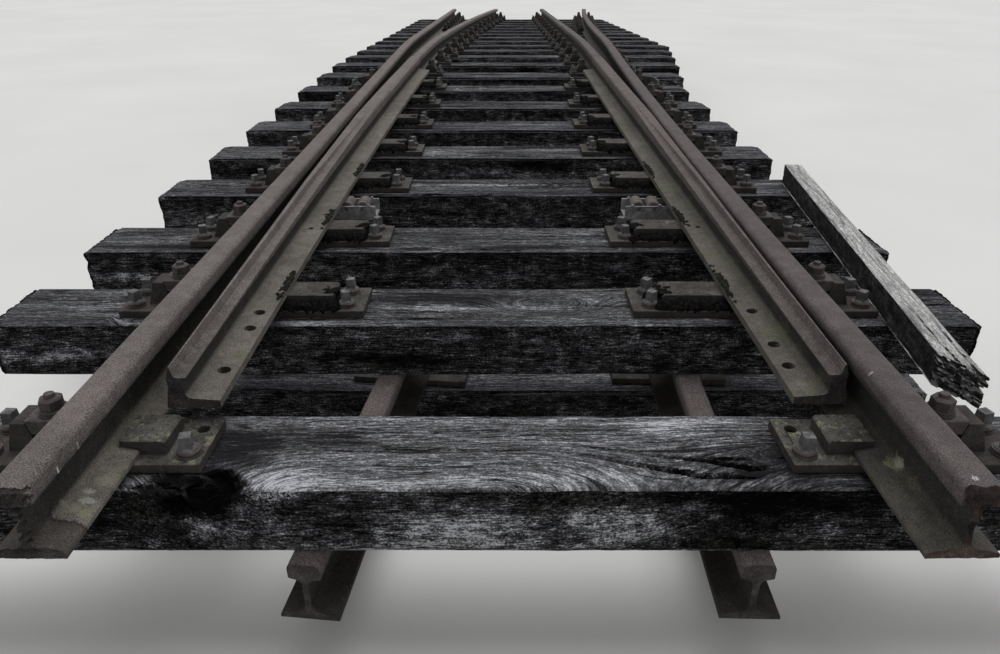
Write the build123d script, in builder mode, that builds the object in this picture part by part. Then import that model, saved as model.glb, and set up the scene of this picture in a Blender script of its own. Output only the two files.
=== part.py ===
from build123d import *
from math import asin, atan2, cos, degrees, radians, sin, tan
import os

# Railway switch panel on timber sleepers, stacked on a lower track.
# +Y runs along the track from the cut ends, +X to the side of the diverging route, +Z up.
# Lengths are in millimetres. A station is a length along the underside of the sleepers,
# measured from the cut ends of the stock rails.

# Rails
track_gauge = 1435
rail_height = 149
rail_foot = 125
rail_head = 67
rail_web = 14
foot_edge = 10.5
foot_shoulder = 24
head_side_low = 112
head_web_high = 105
web_fillet = 16
head_corner = 13
small_bevel = 3
panel_length = 13027
diverging_radius = 114000
first_offset = 52

# Sleepers
sleeper_width = 260
sleeper_height = 160
sleeper_short = 2750
sleeper_long = 3220
sleeper_edge = 8
rail_inset = 670
first_sleepers = [202, 889, 1432, 2054]
sleeper_pitch = 600
last_sleeper_reach = 90
last_short_sleeper = 8
full_length_sleeper = 13

# Plates and their seats
plate_thickness = 20
plate_width = 160
seat_gap = 0.3
slide_bar_height = 33
slide_bar_width = 95
slide_plate_out = 312
slide_plate_in = 370
slide_bar_end = 285
slide_bar_lip = 36
slide_bar_bevel = 6
toe_plate_in = 158
toe_bar_end = 83
screw_hole = 13
screw_inset = 33
screw_spread = 85
last_slide_sleeper = 8
rail_plate_half = 172
shared_plate_limit = 370
fit_gap = 1.5
rib_width = 32
rib_height = 38
rib_length = 70
clamp_length = 60
clamp_thickness = 20
clamp_reach = 24
clamp_leg = 32
clamp_bevel = 8

# High ribs outside the stock rails along the tongues, and the wedge clamps that lean on them
high_rib_near = 143
high_rib_far = 208
high_rib_height = 66
high_rib_lean = 15
high_rib_taper = 20
wedge_top = 72
wedge_thickness = 32

# Switch tongues
tongue_height = 116
tongue_full_head = 67
tongue_web_inset = 8
tongue_head_low = 64
tongue_head_full = 72
tongue_foot_width = 118
tongue_foot_edge = 18
tongue_foot_root = 24
tongue_end_left = 406
tongue_end_right = 419
tongue_heel = 4947
heel_gap = 10
heel_pivot_inset = 60
tongue_opening_left = 42
tongue_closing_right = 5.5
tongue_hole = 15
tongue_holes_left = [(122, 33), (327, 31), (416, 30)]
tongue_holes_right = [(128, 32), (230, 32), (411, 30)]
tongue_small_hole = 9
tongue_small_hole_inset = 20
tongue_small_hole_run = 1056

# Planing of a tongue: its outer side clears the stock rail, its top falls towards the cut end
planing_gap = 12
planing_side = [(0, 1.4), (29, 7), (48, 12), (74, 12), (97, 20)]
planing_depth = 150
cut_over = 10
lip_in = 30
lip_slant = 4
lip_drop = 18
lip_run = 1300
shoulder_in = 21
shoulder_drop = 43
scoop_run = 2700

# Roller devices that carry the moving tongues
roller_station = 1870
roller_radius = 26
roller_length = 84
roller_pin = 8
pin_clearance = 0.3
roller_offsets = [163, 223]
roller_running_gap = 5
roller_side_gap = 2
roller_plate = 9
roller_frame_in = 274
roller_frame_height = 52
roller_rise = 14
roller_hook_rise = 9
roller_hook_width = 14

# Lower track that carries the level part of the panel
bearer_start = 167
bearer_length = 5130
bearer_left_x = 359
bearer_spacing = 906
bearer_left_skew = 6
bearer_right_skew = 1.5
bearer_plate_length = 360
bearer_plate_width = 160
bearer_plate_thickness = 18
lower_sleeper_inset = 900
lower_sleeper_pitch = 1290
lower_sleeper_height = 122
lower_sleeper_length = 2600

# Bend of the unsupported end down to the ground
bend_delay = 20
bend_radius = 30000

# Loose squared timber lying on the sleeper ends
timber_length = 1790
timber_width = 74
timber_height = 85
timber_out = 303
timber_station = 467
timber_skew = 6.9

# Derived levels and lines
deck_base = lower_sleeper_height + bearer_plate_thickness + rail_height
plate_top = sleeper_height + plate_thickness
rail_level = plate_top + seat_gap
tongue_level = rail_level + slide_bar_height
half_head = rail_head / 2
match = 0.01
half_foot = rail_foot / 2
foot_slope = (foot_shoulder - foot_edge) / (half_foot - rail_web / 2)
sleeper_left_x = -sleeper_long / 2
gauge_left = sleeper_left_x + rail_inset
gauge_right = gauge_left + track_gauge

# Sleepers follow at one pitch, and the last may reach a little past the rails.
sleeper_stations = list(first_sleepers)
while sleeper_stations[-1] + sleeper_pitch + sleeper_width - last_sleeper_reach <= panel_length:
    sleeper_stations.append(sleeper_stations[-1] + sleeper_pitch)
sleeper_count = len(sleeper_stations)
panel_end = max(panel_length, sleeper_stations[-1] + sleeper_width)

# Sleepers of the lower track. The panel bends down where its rails end, but behind the tongues.
bearer_end = bearer_start + bearer_length
lower_stations = [bearer_start + lower_sleeper_inset]
while lower_stations[-1] + lower_sleeper_pitch + sleeper_width <= bearer_end:
    lower_stations.append(lower_stations[-1] + lower_sleeper_pitch)
bend_start = max(bearer_end, tongue_heel + heel_gap) + bend_delay

# The bend angle is the one that lays the last sleeper on the ground.
bend_angle = 0
for _ in range(12):
    level_drop = bend_radius * (1 - cos(bend_angle))
    sloped_run = sleeper_stations[-1] + sleeper_width - bend_start - bend_radius * bend_angle
    bend_angle = asin((deck_base - level_drop) / sloped_run)
bend_end = bend_start + bend_radius * bend_angle


def bend_place(station):
    """Level distance, drop and slope of the sleepers' underside at a station."""
    if station <= bend_start:
        return station, 0, 0
    turned = min(station, bend_end) - bend_start
    angle = turned / bend_radius
    straight = max(0, station - bend_end)
    level = bend_start + bend_radius * sin(angle) + straight * cos(angle)
    drop = bend_radius * (1 - cos(angle)) + straight * sin(angle)
    return level, drop, angle


half_length = (bend_place(panel_end)[0] + sleeper_height * sin(bend_angle)) / 2


def deck_plane(station, x=0, height=0):
    """Plane across the track at a station, raised by a height above the sleepers' underside."""
    level, drop, angle = bend_place(station)
    origin = Vector(
        x,
        level - half_length + height * sin(angle),
        deck_base - drop + height * cos(angle),
    )
    return Plane(origin=origin, x_dir=(1, 0, 0), z_dir=(0, sin(angle), cos(angle)))


def sleeper_length(number):
    """Sleepers lengthen where the diverging route leaves the straight one."""
    share = (number - last_short_sleeper) / (full_length_sleeper - last_short_sleeper)
    return sleeper_short + (sleeper_long - sleeper_short) * min(1, max(0, share))


# The diverging gauge faces are arcs about one centre, level with the cut ends.
arc_centre_x = gauge_right + first_offset + diverging_radius


def diverging_axis(radius):
    """Place and heading, at any station, of a rail or gauge face that diverges at a radius."""

    def axis(station):
        if station <= bend_start:
            heading = asin(station / radius)
            return arc_centre_x - radius * cos(heading), heading
        knee = asin(bend_start / radius)
        straight = min(station, bend_end) - bend_start
        curved = max(0, station - bend_end)
        heading = asin(sin(knee) + curved / radius)
        side = straight * tan(knee) + radius * (cos(knee) - cos(heading))
        return arc_centre_x - radius * cos(knee) + side, heading

    return axis


def straight_axis(x):
    """Place and heading of a rail or gauge face that runs straight on."""

    def axis(station):
        return x, 0

    return axis


def straight_route(x, start, end, height):
    """Edges of a straight rail that follows the bend, at a height above the sleepers' underside."""
    first = deck_plane(start, x, height).origin
    knee = deck_plane(bend_start, x, height).origin
    if end <= bend_start:
        Line(first, deck_plane(end, x, height).origin)
        return
    middle = deck_plane((bend_start + bend_end) / 2, x, height).origin
    foot = deck_plane(bend_end, x, height).origin
    if start < bend_start:
        Line(first, knee)
    ThreePointArc(knee, middle, foot)
    Line(foot, deck_plane(end, x, height).origin)


def curved_route(radius, start, end, height):
    """Edges of a diverging rail: level arc, straight over the bend, then an arc on the slope."""

    def plan_point(angle):
        return arc_centre_x - radius * cos(angle), radius * sin(angle)

    def level_point(angle):
        x, station = plan_point(angle)
        return deck_plane(station, x, height).origin

    last = min(end, bend_start)
    first_angle = asin(start / radius)
    last_angle = asin(last / radius)
    ThreePointArc(
        level_point(first_angle),
        level_point((first_angle + last_angle) / 2),
        level_point(last_angle),
    )
    if end <= bend_start:
        return
    knee_x, knee_station = plan_point(last_angle)
    bend_side = 2 * (bend_radius + height) * tan(bend_angle / 2) * tan(last_angle)
    foot_x = knee_x + bend_side
    TangentArc(
        deck_plane(bend_start, knee_x, height).origin,
        deck_plane(bend_end, foot_x, height).origin,
        tangent=(sin(last_angle), cos(last_angle), 0),
    )

    def slope_point(run):
        turned = last_angle + run / radius
        side = radius * (cos(last_angle) - cos(turned))
        ahead = radius * (sin(turned) - sin(last_angle))
        return deck_plane(bend_end + ahead, foot_x + side, height).origin

    run = end - bend_end
    ThreePointArc(slope_point(0), slope_point(run / 2), slope_point(run))


def section_plane(route):
    """Plane square to the start of a route, with its Y direction up and its X direction to -X."""
    start = route @ 0
    along = route % 0
    across = Vector(-1, 0, 0) - along * Vector(-1, 0, 0).dot(along)
    return Plane(origin=start, x_dir=across, z_dir=along)


def foot_top(inset):
    """Height of the rail foot's top, at a distance in from its edge."""
    return foot_edge + inset * foot_slope


def rail_section():
    """Flat-bottom rail, foot down, centred on its web."""
    half_web = rail_web / 2
    with BuildLine() as outline:
        Polyline(
            (0, 0),
            (half_foot, 0),
            (half_foot, foot_edge - small_bevel),
            (half_foot - small_bevel, foot_top(small_bevel)),
            (half_web, foot_shoulder),
            (half_web, head_web_high),
            (half_head, head_side_low),
            (half_head, rail_height),
            (0, rail_height),
        )
        mirror(about=Plane.YZ)
    make_face(outline.edges())
    webs = vertices().filter_by(lambda v: abs(abs(v.X) - half_web) < match)
    fillet(webs, web_fillet)
    tops = vertices().filter_by(lambda v: v.Y > rail_height - match and abs(v.X) > half_web)
    fillet(tops, head_corner)


def tongue_section(side):
    """Tongue with its upright on the stock-rail side and its foot to the inside of the track.

    The gauge face is at zero. Side is +1 where the foot points to section +X."""
    head_out = -side * tongue_full_head
    web_in = -side * tongue_web_inset
    foot_in = side * (tongue_foot_width - tongue_full_head + planing_gap)
    with BuildLine() as outline:
        Polyline(
            (head_out, 0),
            (foot_in, 0),
            (foot_in, tongue_foot_edge),
            (web_in, tongue_foot_root),
            (web_in, tongue_head_low),
            (0, tongue_head_full),
            (0, tongue_height),
            (head_out, tongue_height),
            close=True,
        )
    make_face(outline.edges())
    gauge_corner = vertices().filter_by(
        lambda v: v.Y > tongue_height - match and abs(v.X) < match
    )
    fillet(gauge_corner, head_corner)
    root = vertices().filter_by(
        lambda v: abs(v.Y - tongue_foot_root) < match and abs(v.X - web_in) < match
    )
    fillet(root, head_corner)


def planing_section(side):
    """Room that the stock rail and its running clearance take from a tongue."""
    floor = slide_bar_height - cut_over
    ceiling = rail_height + cut_over
    profile = [(side * out, slide_bar_height + up) for up, out in planing_side]
    with BuildLine() as outline:
        Polyline(
            (-side * planing_depth, floor),
            (side * planing_side[0][1], floor),
            *profile,
            (side * planing_side[-1][1], ceiling),
            (-side * planing_depth, ceiling),
            close=True,
        )
    make_face(outline.edges())


def cross_plane(axis, station, height):
    """Upright plane square to a rail at a station, with its X direction to -X."""
    x, heading = axis(station)
    return Plane(
        origin=deck_plane(station, x, height).origin,
        x_dir=(-cos(heading), sin(heading), 0),
        z_dir=(sin(heading), cos(heading), 0),
    )


def top_planing(axis, end, side):
    """What is planed off a tongue's top: a lip stays outside, a lower shoulder inside.

    Both rise from the cut end until the head is whole."""
    outside = -side * (tongue_full_head + cut_over)
    inside = side * cut_over
    ceiling = tongue_height + cut_over
    sections = []
    for run in (-cut_over, lip_run, scoop_run):
        lip = tongue_height - lip_drop * (1 - run / lip_run)
        lip = min(lip, tongue_height + cut_over / 2)
        shoulder = tongue_height - shoulder_drop * (1 - run / scoop_run)
        with BuildSketch(cross_plane(axis, end + run, tongue_level)) as section:
            with BuildLine() as outline:
                Polyline(
                    (outside, lip),
                    (-side * lip_in, lip),
                    (-side * (lip_in - lip_slant), min(lip, shoulder + lip_slant)),
                    (-side * shoulder_in, shoulder),
                    (inside, shoulder),
                    (inside, ceiling),
                    (outside, ceiling),
                    close=True,
                )
            make_face(outline.edges())
        sections.append(section.sketch)
    loft(sections, ruled=True)


pieces = {}


def keep(part, name):
    """Name a finished piece and remember it for writing."""
    part.label = name
    pieces[name] = part


# Sleepers, each slightly rounded along its edges
for number, station in enumerate(sleeper_stations, start=1):
    length = sleeper_length(number)
    middle = station + sleeper_width / 2
    seat = deck_plane(middle, sleeper_left_x + length / 2)
    with BuildPart() as sleeper:
        with BuildSketch(seat):
            Rectangle(length, sleeper_width)
        extrude(amount=sleeper_height)
        long_edges = sleeper.edges().filter_by(Axis.X).group_by(Axis.Z)[-1]
        chamfer(long_edges, sleeper_edge)
    keep(sleeper.part, f"sleeper_{number:02d}")

# Stock rails
stock_left_x = gauge_left - half_head
stock_right_radius = diverging_radius - half_head
closure_right_x = gauge_right + half_head
closure_left_radius = diverging_radius + track_gauge + half_head

stock_axis = {
    "left": straight_axis(stock_left_x),
    "right": diverging_axis(stock_right_radius),
}
closure_axis = {
    "left": diverging_axis(closure_left_radius),
    "right": straight_axis(closure_right_x),
}

with BuildPart() as stock_rail_left:
    with BuildLine() as route:
        straight_route(stock_left_x, 0, panel_length, rail_level)
    with BuildSketch(section_plane(route.line)):
        rail_section()
    sweep(path=route.line)
keep(stock_rail_left.part, "stock_rail_left")

with BuildPart() as stock_rail_right:
    with BuildLine() as route:
        curved_route(stock_right_radius, 0, panel_length, rail_level)
    with BuildSketch(section_plane(route.line)):
        rail_section()
    sweep(path=route.line)
keep(stock_rail_right.part, "stock_rail_right")

# Closure rails behind the heels of the tongues
closure_start = tongue_heel + heel_gap
with BuildPart() as closure_rail_right:
    with BuildLine() as route:
        straight_route(closure_right_x, closure_start, panel_length, rail_level)
    with BuildSketch(section_plane(route.line)):
        rail_section()
    sweep(path=route.line)
keep(closure_rail_right.part, "closure_rail_right")

with BuildPart() as closure_rail_left:
    with BuildLine() as route:
        curved_route(closure_left_radius, closure_start, panel_length, rail_level)
    with BuildSketch(section_plane(route.line)):
        rail_section()
    sweep(path=route.line)
keep(closure_rail_left.part, "closure_rail_left")

# Switch tongues, planed to lie against the stock rails
tongue_left_radius = diverging_radius + track_gauge

with BuildPart() as planing_left:
    with BuildLine() as route:
        straight_route(gauge_left, 0, tongue_heel, rail_level)
    with BuildSketch(section_plane(route.line)):
        planing_section(-1)
    sweep(path=route.line)

with BuildPart() as planing_right:
    with BuildLine() as route:
        curved_route(diverging_radius, 0, tongue_heel, rail_level)
    with BuildSketch(section_plane(route.line)):
        planing_section(1)
    sweep(path=route.line)


tongue_axis = {
    "left": diverging_axis(tongue_left_radius),
    "right": straight_axis(gauge_right),
}


def foot_holes(word, end, side, holes):
    """Drilled holes in a tongue's foot, as runs from its cut end and distances from its gauge face."""
    for run, inset in holes:
        x = tongue_axis[word](end + run)[0] + side * inset
        with Locations(deck_plane(end + run, x, tongue_level)):
            Hole(tongue_hole, tongue_foot_root * 2)
    run = tongue_small_hole_run
    x = tongue_axis[word](end + run)[0] + side * tongue_small_hole_inset
    with Locations(deck_plane(end + run, x, tongue_level)):
        Hole(tongue_small_hole, tongue_foot_root * 2)


heel_station = tongue_heel - heel_pivot_inset
heel_left_x = tongue_axis["left"](heel_station)[0] - tongue_full_head / 2
heel_left = deck_plane(heel_station, heel_left_x)
heel_right = deck_plane(heel_station, gauge_right + tongue_full_head / 2)

with BuildPart() as top_planing_left:
    top_planing(tongue_axis["left"], tongue_end_left, -1)

with BuildPart() as top_planing_right:
    top_planing(tongue_axis["right"], tongue_end_right, 1)

with BuildPart() as switch_tongue_left:
    with BuildLine() as route:
        curved_route(tongue_left_radius, tongue_end_left, tongue_heel, tongue_level)
    with BuildSketch(section_plane(route.line)):
        tongue_section(-1)
    sweep(path=route.line)
    add(planing_left.part, mode=Mode.SUBTRACT)
    add(top_planing_left.part, mode=Mode.SUBTRACT)
    foot_holes("left", tongue_end_left, 1, tongue_holes_left)
opening_angle = degrees(atan2(tongue_opening_left, heel_station - tongue_end_left))
heel_axis_left = Axis(heel_left.origin, (0, 0, 1))
keep(switch_tongue_left.part.rotate(heel_axis_left, opening_angle), "switch_tongue_left")

with BuildPart() as switch_tongue_right:
    with BuildLine() as route:
        straight_route(gauge_right, tongue_end_right, tongue_heel, tongue_level)
    with BuildSketch(section_plane(route.line)):
        tongue_section(1)
    sweep(path=route.line)
    add(planing_right.part, mode=Mode.SUBTRACT)
    add(top_planing_right.part, mode=Mode.SUBTRACT)
    foot_holes("right", tongue_end_right, -1, tongue_holes_right)
closing_angle = degrees(atan2(tongue_closing_right, heel_station - tongue_end_right))
heel_axis_right = Axis(heel_right.origin, (0, 0, 1))
keep(switch_tongue_right.part.rotate(heel_axis_right, closing_angle), "switch_tongue_right")

sides = {"left": -1, "right": 1}


def middle_of(number):
    """Station of a sleeper's middle."""
    return sleeper_stations[number - 1] + sleeper_width / 2


def rail_frame(axis, station, facing, height=plate_top):
    """Plane at a rail's centre, turned with the rail, whose X points away from it to one side."""
    x, heading = axis(station)
    flat = deck_plane(station, x, height)
    across = flat.x_dir * cos(heading) - flat.y_dir * sin(heading)
    return Plane(origin=flat.origin, x_dir=across * facing, z_dir=flat.z_dir)


def section_of(frame, width):
    """Upright plane across a rail frame, set back by half a width."""
    start = frame.origin + frame.y_dir * width / 2
    return Plane(origin=start, x_dir=frame.x_dir, z_dir=-frame.y_dir)


def flat_plate(station, x_from, x_to, height, width, thickness):
    """Rectangular plate lying square across a sleeper."""
    with BuildSketch(deck_plane(station, (x_from + x_to) / 2, height)) as outline:
        Rectangle(abs(x_to - x_from), width)
    extrude(outline.sketch, amount=thickness)


def slide_bar(frame, end):
    """Raised bar under a tongue, with a lip that holds the stock rail's foot."""
    top = slide_bar_height
    near = half_foot + fit_gap
    lip = half_foot - slide_bar_lip
    with BuildSketch(section_of(frame, slide_bar_width)) as section:
        with BuildLine() as outline:
            Polyline(
                (near, 0),
                (end, 0),
                (end, top - slide_bar_bevel),
                (end - slide_bar_bevel, top),
                (lip, top),
                (lip, foot_top(slide_bar_lip) + fit_gap),
                (near, foot_top(0) + fit_gap),
                close=True,
            )
        make_face(outline.edges())
    extrude(section.sketch, amount=slide_bar_width)


def rib(frame):
    """Rib on a plate, just outside a rail's foot."""
    with BuildSketch(frame) as outline:
        with Locations((half_foot + fit_gap, 0)):
            Rectangle(rib_width, rib_length, align=(Align.MIN, Align.CENTER))
    extrude(outline.sketch, amount=rib_height)


def clamp(frame):
    """Clamp that bridges a rib, with one leg on the rail's foot and one on the plate."""
    toe = half_foot - clamp_reach
    rib_far = half_foot + rib_width + 2 * fit_gap
    heel = rib_far + clamp_leg
    crown = rib_height + fit_gap
    top = crown + clamp_thickness
    with BuildPart() as one_clamp:
        with BuildSketch(section_of(frame, clamp_length)):
            with BuildLine() as outline:
                Polyline(
                    (toe, foot_top(clamp_reach) + 2 * seat_gap),
                    (half_foot, foot_top(0) + 2 * seat_gap),
                    (half_foot, crown),
                    (rib_far, crown),
                    (rib_far, seat_gap),
                    (heel, seat_gap),
                    (heel, clamp_thickness),
                    (rib_far + clamp_bevel, top),
                    (half_foot + fit_gap, top),
                    (toe, foot_top(clamp_reach) + clamp_thickness),
                    close=True,
                )
            make_face(outline.edges())
        extrude(amount=clamp_length)
    return one_clamp.part


def high_rib(frame):
    """High rib on a plate, whose inner side leans away from the stock rail."""
    with BuildSketch(section_of(frame, rib_length)) as section:
        with BuildLine() as outline:
            Polyline(
                (high_rib_near, 0),
                (high_rib_far, 0),
                (high_rib_far - high_rib_taper, high_rib_height),
                (high_rib_near + high_rib_lean, high_rib_height),
                close=True,
            )
        make_face(outline.edges())
    extrude(section.sketch, amount=rib_length)


def wedge_clamp(frame):
    """Thick clamp from a stock rail's foot to the leaning side of a high rib."""
    toe = half_foot - clamp_reach
    low = wedge_top - wedge_thickness
    lean = high_rib_lean / high_rib_height
    with BuildPart() as one_clamp:
        with BuildSketch(section_of(frame, rib_length)):
            with BuildLine() as outline:
                Polyline(
                    (toe, foot_top(clamp_reach) + 2 * seat_gap),
                    (half_foot, foot_top(0) + 2 * seat_gap),
                    (half_foot + clamp_bevel, low),
                    (high_rib_near + lean * low - seat_gap, low),
                    (high_rib_near + lean * wedge_top - seat_gap, wedge_top),
                    (half_foot + clamp_bevel, wedge_top),
                    (toe, foot_top(clamp_reach) + clamp_thickness),
                    close=True,
                )
            make_face(outline.edges())
        extrude(amount=rib_length)
    return one_clamp.part


def screw_holes(station, x):
    """Two coach-screw holes near the end of a plate."""
    with Locations(deck_plane(station, x, plate_top)):
        with GridLocations(0, screw_spread, 1, 2):
            Hole(screw_hole, plate_thickness)


# Plates of the cut end, whose short bars end before the tongues
for word, side in sides.items():
    station = middle_of(1)
    gauge_x = stock_axis[word](station)[0] - side * half_head
    with BuildPart() as toe_plate:
        x_in = gauge_x - side * toe_plate_in
        x_out = gauge_x + side * slide_plate_out
        flat_plate(station, x_out, x_in, sleeper_height, plate_width, plate_thickness)
        slide_bar(rail_frame(stock_axis[word], station, -side), toe_bar_end + half_head)
        high_rib(rail_frame(stock_axis[word], station, side))
        screw_holes(station, x_in + side * screw_inset)
    keep(toe_plate.part, f"toe_plate_{word}")

# Slide plates under both tongues
for word, side in sides.items():
    plates = []
    for number in range(2, last_slide_sleeper + 1):
        station = middle_of(number)
        gauge_x = stock_axis[word](station)[0] - side * half_head
        with BuildPart() as slide_plate:
            x_in = gauge_x - side * slide_plate_in
            x_out = gauge_x + side * slide_plate_out
            flat_plate(station, x_out, x_in, sleeper_height, plate_width, plate_thickness)
            slide_bar(rail_frame(stock_axis[word], station, -side), slide_bar_end + half_head)
            high_rib(rail_frame(stock_axis[word], station, side))
        plates.append(slide_plate.part)
    keep(Compound(children=plates), f"slide_plates_{word}")


def have_parted(word, station):
    """Whether the stock rail and the closure rail of a side have room for a plate each."""
    parting = stock_axis[word](station)[0] - closure_axis[word](station)[0]
    return abs(parting) >= shared_plate_limit


# Plates behind the heels: one for both rails at first, then one for each rail
for word, side in sides.items():
    plates = []
    for number in range(last_slide_sleeper + 1, sleeper_count + 1):
        station = middle_of(number)
        stock_x = stock_axis[word](station)[0]
        closure_x = closure_axis[word](station)[0]
        x_out = stock_x + side * rail_plate_half
        x_in = closure_x - side * rail_plate_half
        stock_rib = rail_frame(stock_axis[word], station, side)
        closure_rib = rail_frame(closure_axis[word], station, -side)
        if not have_parted(word, station):
            with BuildPart() as shared_plate:
                flat_plate(station, x_out, x_in, sleeper_height, plate_width, plate_thickness)
                rib(stock_rib)
                rib(closure_rib)
            plates.append(shared_plate.part)
            continue
        with BuildPart() as stock_plate:
            stock_in = stock_x - side * rail_plate_half
            flat_plate(station, x_out, stock_in, sleeper_height, plate_width, plate_thickness)
            rib(stock_rib)
            rib(rail_frame(stock_axis[word], station, -side))
        with BuildPart() as closure_plate:
            closure_out = closure_x + side * rail_plate_half
            flat_plate(station, closure_out, x_in, sleeper_height, plate_width, plate_thickness)
            rib(closure_rib)
            rib(rail_frame(closure_axis[word], station, side))
        plates += [stock_plate.part, closure_plate.part]
    keep(Compound(children=plates), f"rail_plates_{word}")

# Clamps on the outer feet of the stock rails and the inner feet of the closure rails, and on
# the feet between them where the rails have parted
for word, side in sides.items():
    clamps = []
    for number in range(1, sleeper_count + 1):
        station = middle_of(number)
        outer_frame = rail_frame(stock_axis[word], station, side)
        if number <= last_slide_sleeper:
            clamps.append(wedge_clamp(outer_frame))
            continue
        clamps.append(clamp(outer_frame))
        if have_parted(word, station):
            clamps.append(clamp(rail_frame(stock_axis[word], station, -side)))
    keep(Compound(children=clamps), f"stock_clamps_{word}")
    clamps = []
    for number in range(last_slide_sleeper + 1, sleeper_count + 1):
        station = middle_of(number)
        clamps.append(clamp(rail_frame(closure_axis[word], station, -side)))
        if have_parted(word, station):
            clamps.append(clamp(rail_frame(closure_axis[word], station, side)))
    keep(Compound(children=clamps), f"closure_clamps_{word}")


def roller_side_plate(frame, end):
    """Upright plate of a roller device, with a jaw that grips the rail's foot from below."""
    jaw = rail_level - roller_floor - seat_gap
    with BuildSketch(section_of(frame, roller_plate)) as section:
        with BuildLine() as outline:
            Polyline(
                (-half_foot - fit_gap - roller_hook_width, 0),
                (end, 0),
                (end, roller_frame_height),
                (half_foot + fit_gap, roller_frame_height),
                (half_foot + fit_gap, jaw),
                (-half_foot - fit_gap, jaw),
                (-half_foot - fit_gap, jaw + roller_hook_rise),
                (-half_foot - fit_gap - roller_hook_width, jaw + roller_hook_rise),
                close=True,
            )
        make_face(outline.edges())
    extrude(section.sketch, amount=roller_plate)


# Roller devices hooked to the stock rails' feet between two sleepers
roller_axis_height = tongue_level - roller_running_gap - roller_radius
roller_plate_top = roller_axis_height + roller_radius - roller_rise
roller_bay = roller_length + 2 * roller_side_gap
bay_width = roller_bay + 2 * roller_plate
roller_floor = roller_plate_top - roller_frame_height
for word, side in sides.items():
    rail_x = stock_axis[word](roller_station)[0]
    frame_end = half_head + roller_frame_in
    with BuildPart() as roller_frame:
        for end in (-1, 1):
            station = roller_station + end * (roller_bay + roller_plate) / 2
            deck = deck_plane(station, rail_x, roller_floor)
            frame = Plane(origin=deck.origin, x_dir=(-side, 0, 0), z_dir=(0, 0, 1))
            roller_side_plate(frame, frame_end)
        x_from = rail_x - side * (half_foot + fit_gap)
        x_to = rail_x - side * frame_end
        flat_plate(roller_station, x_from, x_to, roller_floor, bay_width, roller_plate)
        for offset in roller_offsets:
            x = rail_x - side * (half_head + offset)
            deck = deck_plane(roller_station, x, roller_axis_height)
            with Locations(Plane(origin=deck.origin, x_dir=(1, 0, 0), z_dir=(0, 1, 0))):
                Hole(roller_pin, bay_width)
    keep(roller_frame.part, f"roller_frame_{word}")
    for place, offset in zip(("outer", "inner"), roller_offsets):
        x = rail_x - side * (half_head + offset)
        deck = deck_plane(roller_station, x, roller_axis_height)
        face = Plane(origin=deck.origin, x_dir=(1, 0, 0), z_dir=(0, 1, 0))
        with BuildPart() as roller:
            with BuildSketch(face):
                Circle(roller_radius)
            extrude(amount=roller_length / 2, both=True)
            rims = roller.edges().filter_by(GeomType.CIRCLE)
            chamfer(rims, small_bevel)
            with BuildSketch(face):
                Circle(roller_pin - pin_clearance)
            extrude(amount=bay_width / 2, both=True)
        keep(roller.part, f"roller_{word}_{place}")

# Lower track: two rails on baseplates and sleepers, which carry the level part
bearer_base = lower_sleeper_height + bearer_plate_thickness
bearer_y = bearer_start - half_length
lower_rows = [station + sleeper_width / 2 - half_length for station in lower_stations]
lower_left_x = sleeper_left_x + bearer_left_x + rail_inset
bearers = {
    "left": (lower_left_x, bearer_left_skew),
    "right": (lower_left_x + bearer_spacing, bearer_right_skew),
}
bearer_plates = []
for word, (x, skew) in bearers.items():
    with BuildPart() as bearer:
        along = Vector(sin(radians(skew)), cos(radians(skew)), 0)
        across = Vector(-cos(radians(skew)), sin(radians(skew)), 0)
        start = Vector(x, bearer_y, bearer_base)
        with BuildSketch(Plane(origin=start, x_dir=across, z_dir=along)):
            rail_section()
        extrude(amount=bearer_length)
    keep(bearer.part, f"bearer_rail_{word}")
    for y in lower_rows:
        plate_x = x + (y - bearer_y) * tan(radians(skew))
        seat = Plane(
            origin=(plate_x, y, lower_sleeper_height),
            x_dir=(cos(radians(skew)), -sin(radians(skew)), 0),
            z_dir=(0, 0, 1),
        )
        with BuildPart() as bearer_plate:
            with BuildSketch(seat):
                Rectangle(bearer_plate_length, bearer_plate_width)
            extrude(amount=bearer_plate_thickness)
        bearer_plates.append(bearer_plate.part)
keep(Compound(children=bearer_plates), "bearer_plates")

lower_sleepers = []
for y in lower_rows:
    middle_x = lower_left_x + bearer_spacing / 2
    with BuildPart() as lower_sleeper:
        with BuildSketch(Plane.XY):
            with Locations((middle_x, y)):
                Rectangle(lower_sleeper_length, sleeper_width)
        extrude(amount=lower_sleeper_height)
    lower_sleepers.append(lower_sleeper.part)
keep(Compound(children=lower_sleepers), "lower_sleepers")

# Loose timber
with BuildPart() as loose_timber:
    timber_x = gauge_right + first_offset + timber_out
    corner = deck_plane(timber_station, timber_x, sleeper_height)
    turned = Plane(
        origin=corner.origin,
        x_dir=(cos(radians(timber_skew)), -sin(radians(timber_skew)), 0),
        z_dir=(0, 0, 1),
    )
    with BuildSketch(turned):
        Rectangle(timber_width, timber_length, align=(Align.CENTER, Align.MIN))
    extrude(amount=timber_height)
keep(loose_timber.part, "loose_timber")

os.makedirs("parts", exist_ok=True)
for name, piece in pieces.items():
    export_step(piece, f"parts/{name}.step")
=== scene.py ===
# %% [markdown]
# # A railway switch panel, dressed
#
# The solids of the panel come ready made, and this lesson gives them their looks: rust and worn
# steel, weathered oak, coach screws, clamps and dirt. Each step first says what the piece or the
# finish is on the real panel, then how it is made here.
#
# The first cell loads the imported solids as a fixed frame. Everything is in metres: +Y runs along
# the track from the cut ends, +X to the side of the diverging route, and +Z is up.

# %% Load the frame
from math import cos, exp, hypot, pi, radians, sin
from random import Random

import bmesh
import bpy
from mathutils import Matrix, Vector, noise
from mathutils.bvhtree import BVHTree


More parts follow.
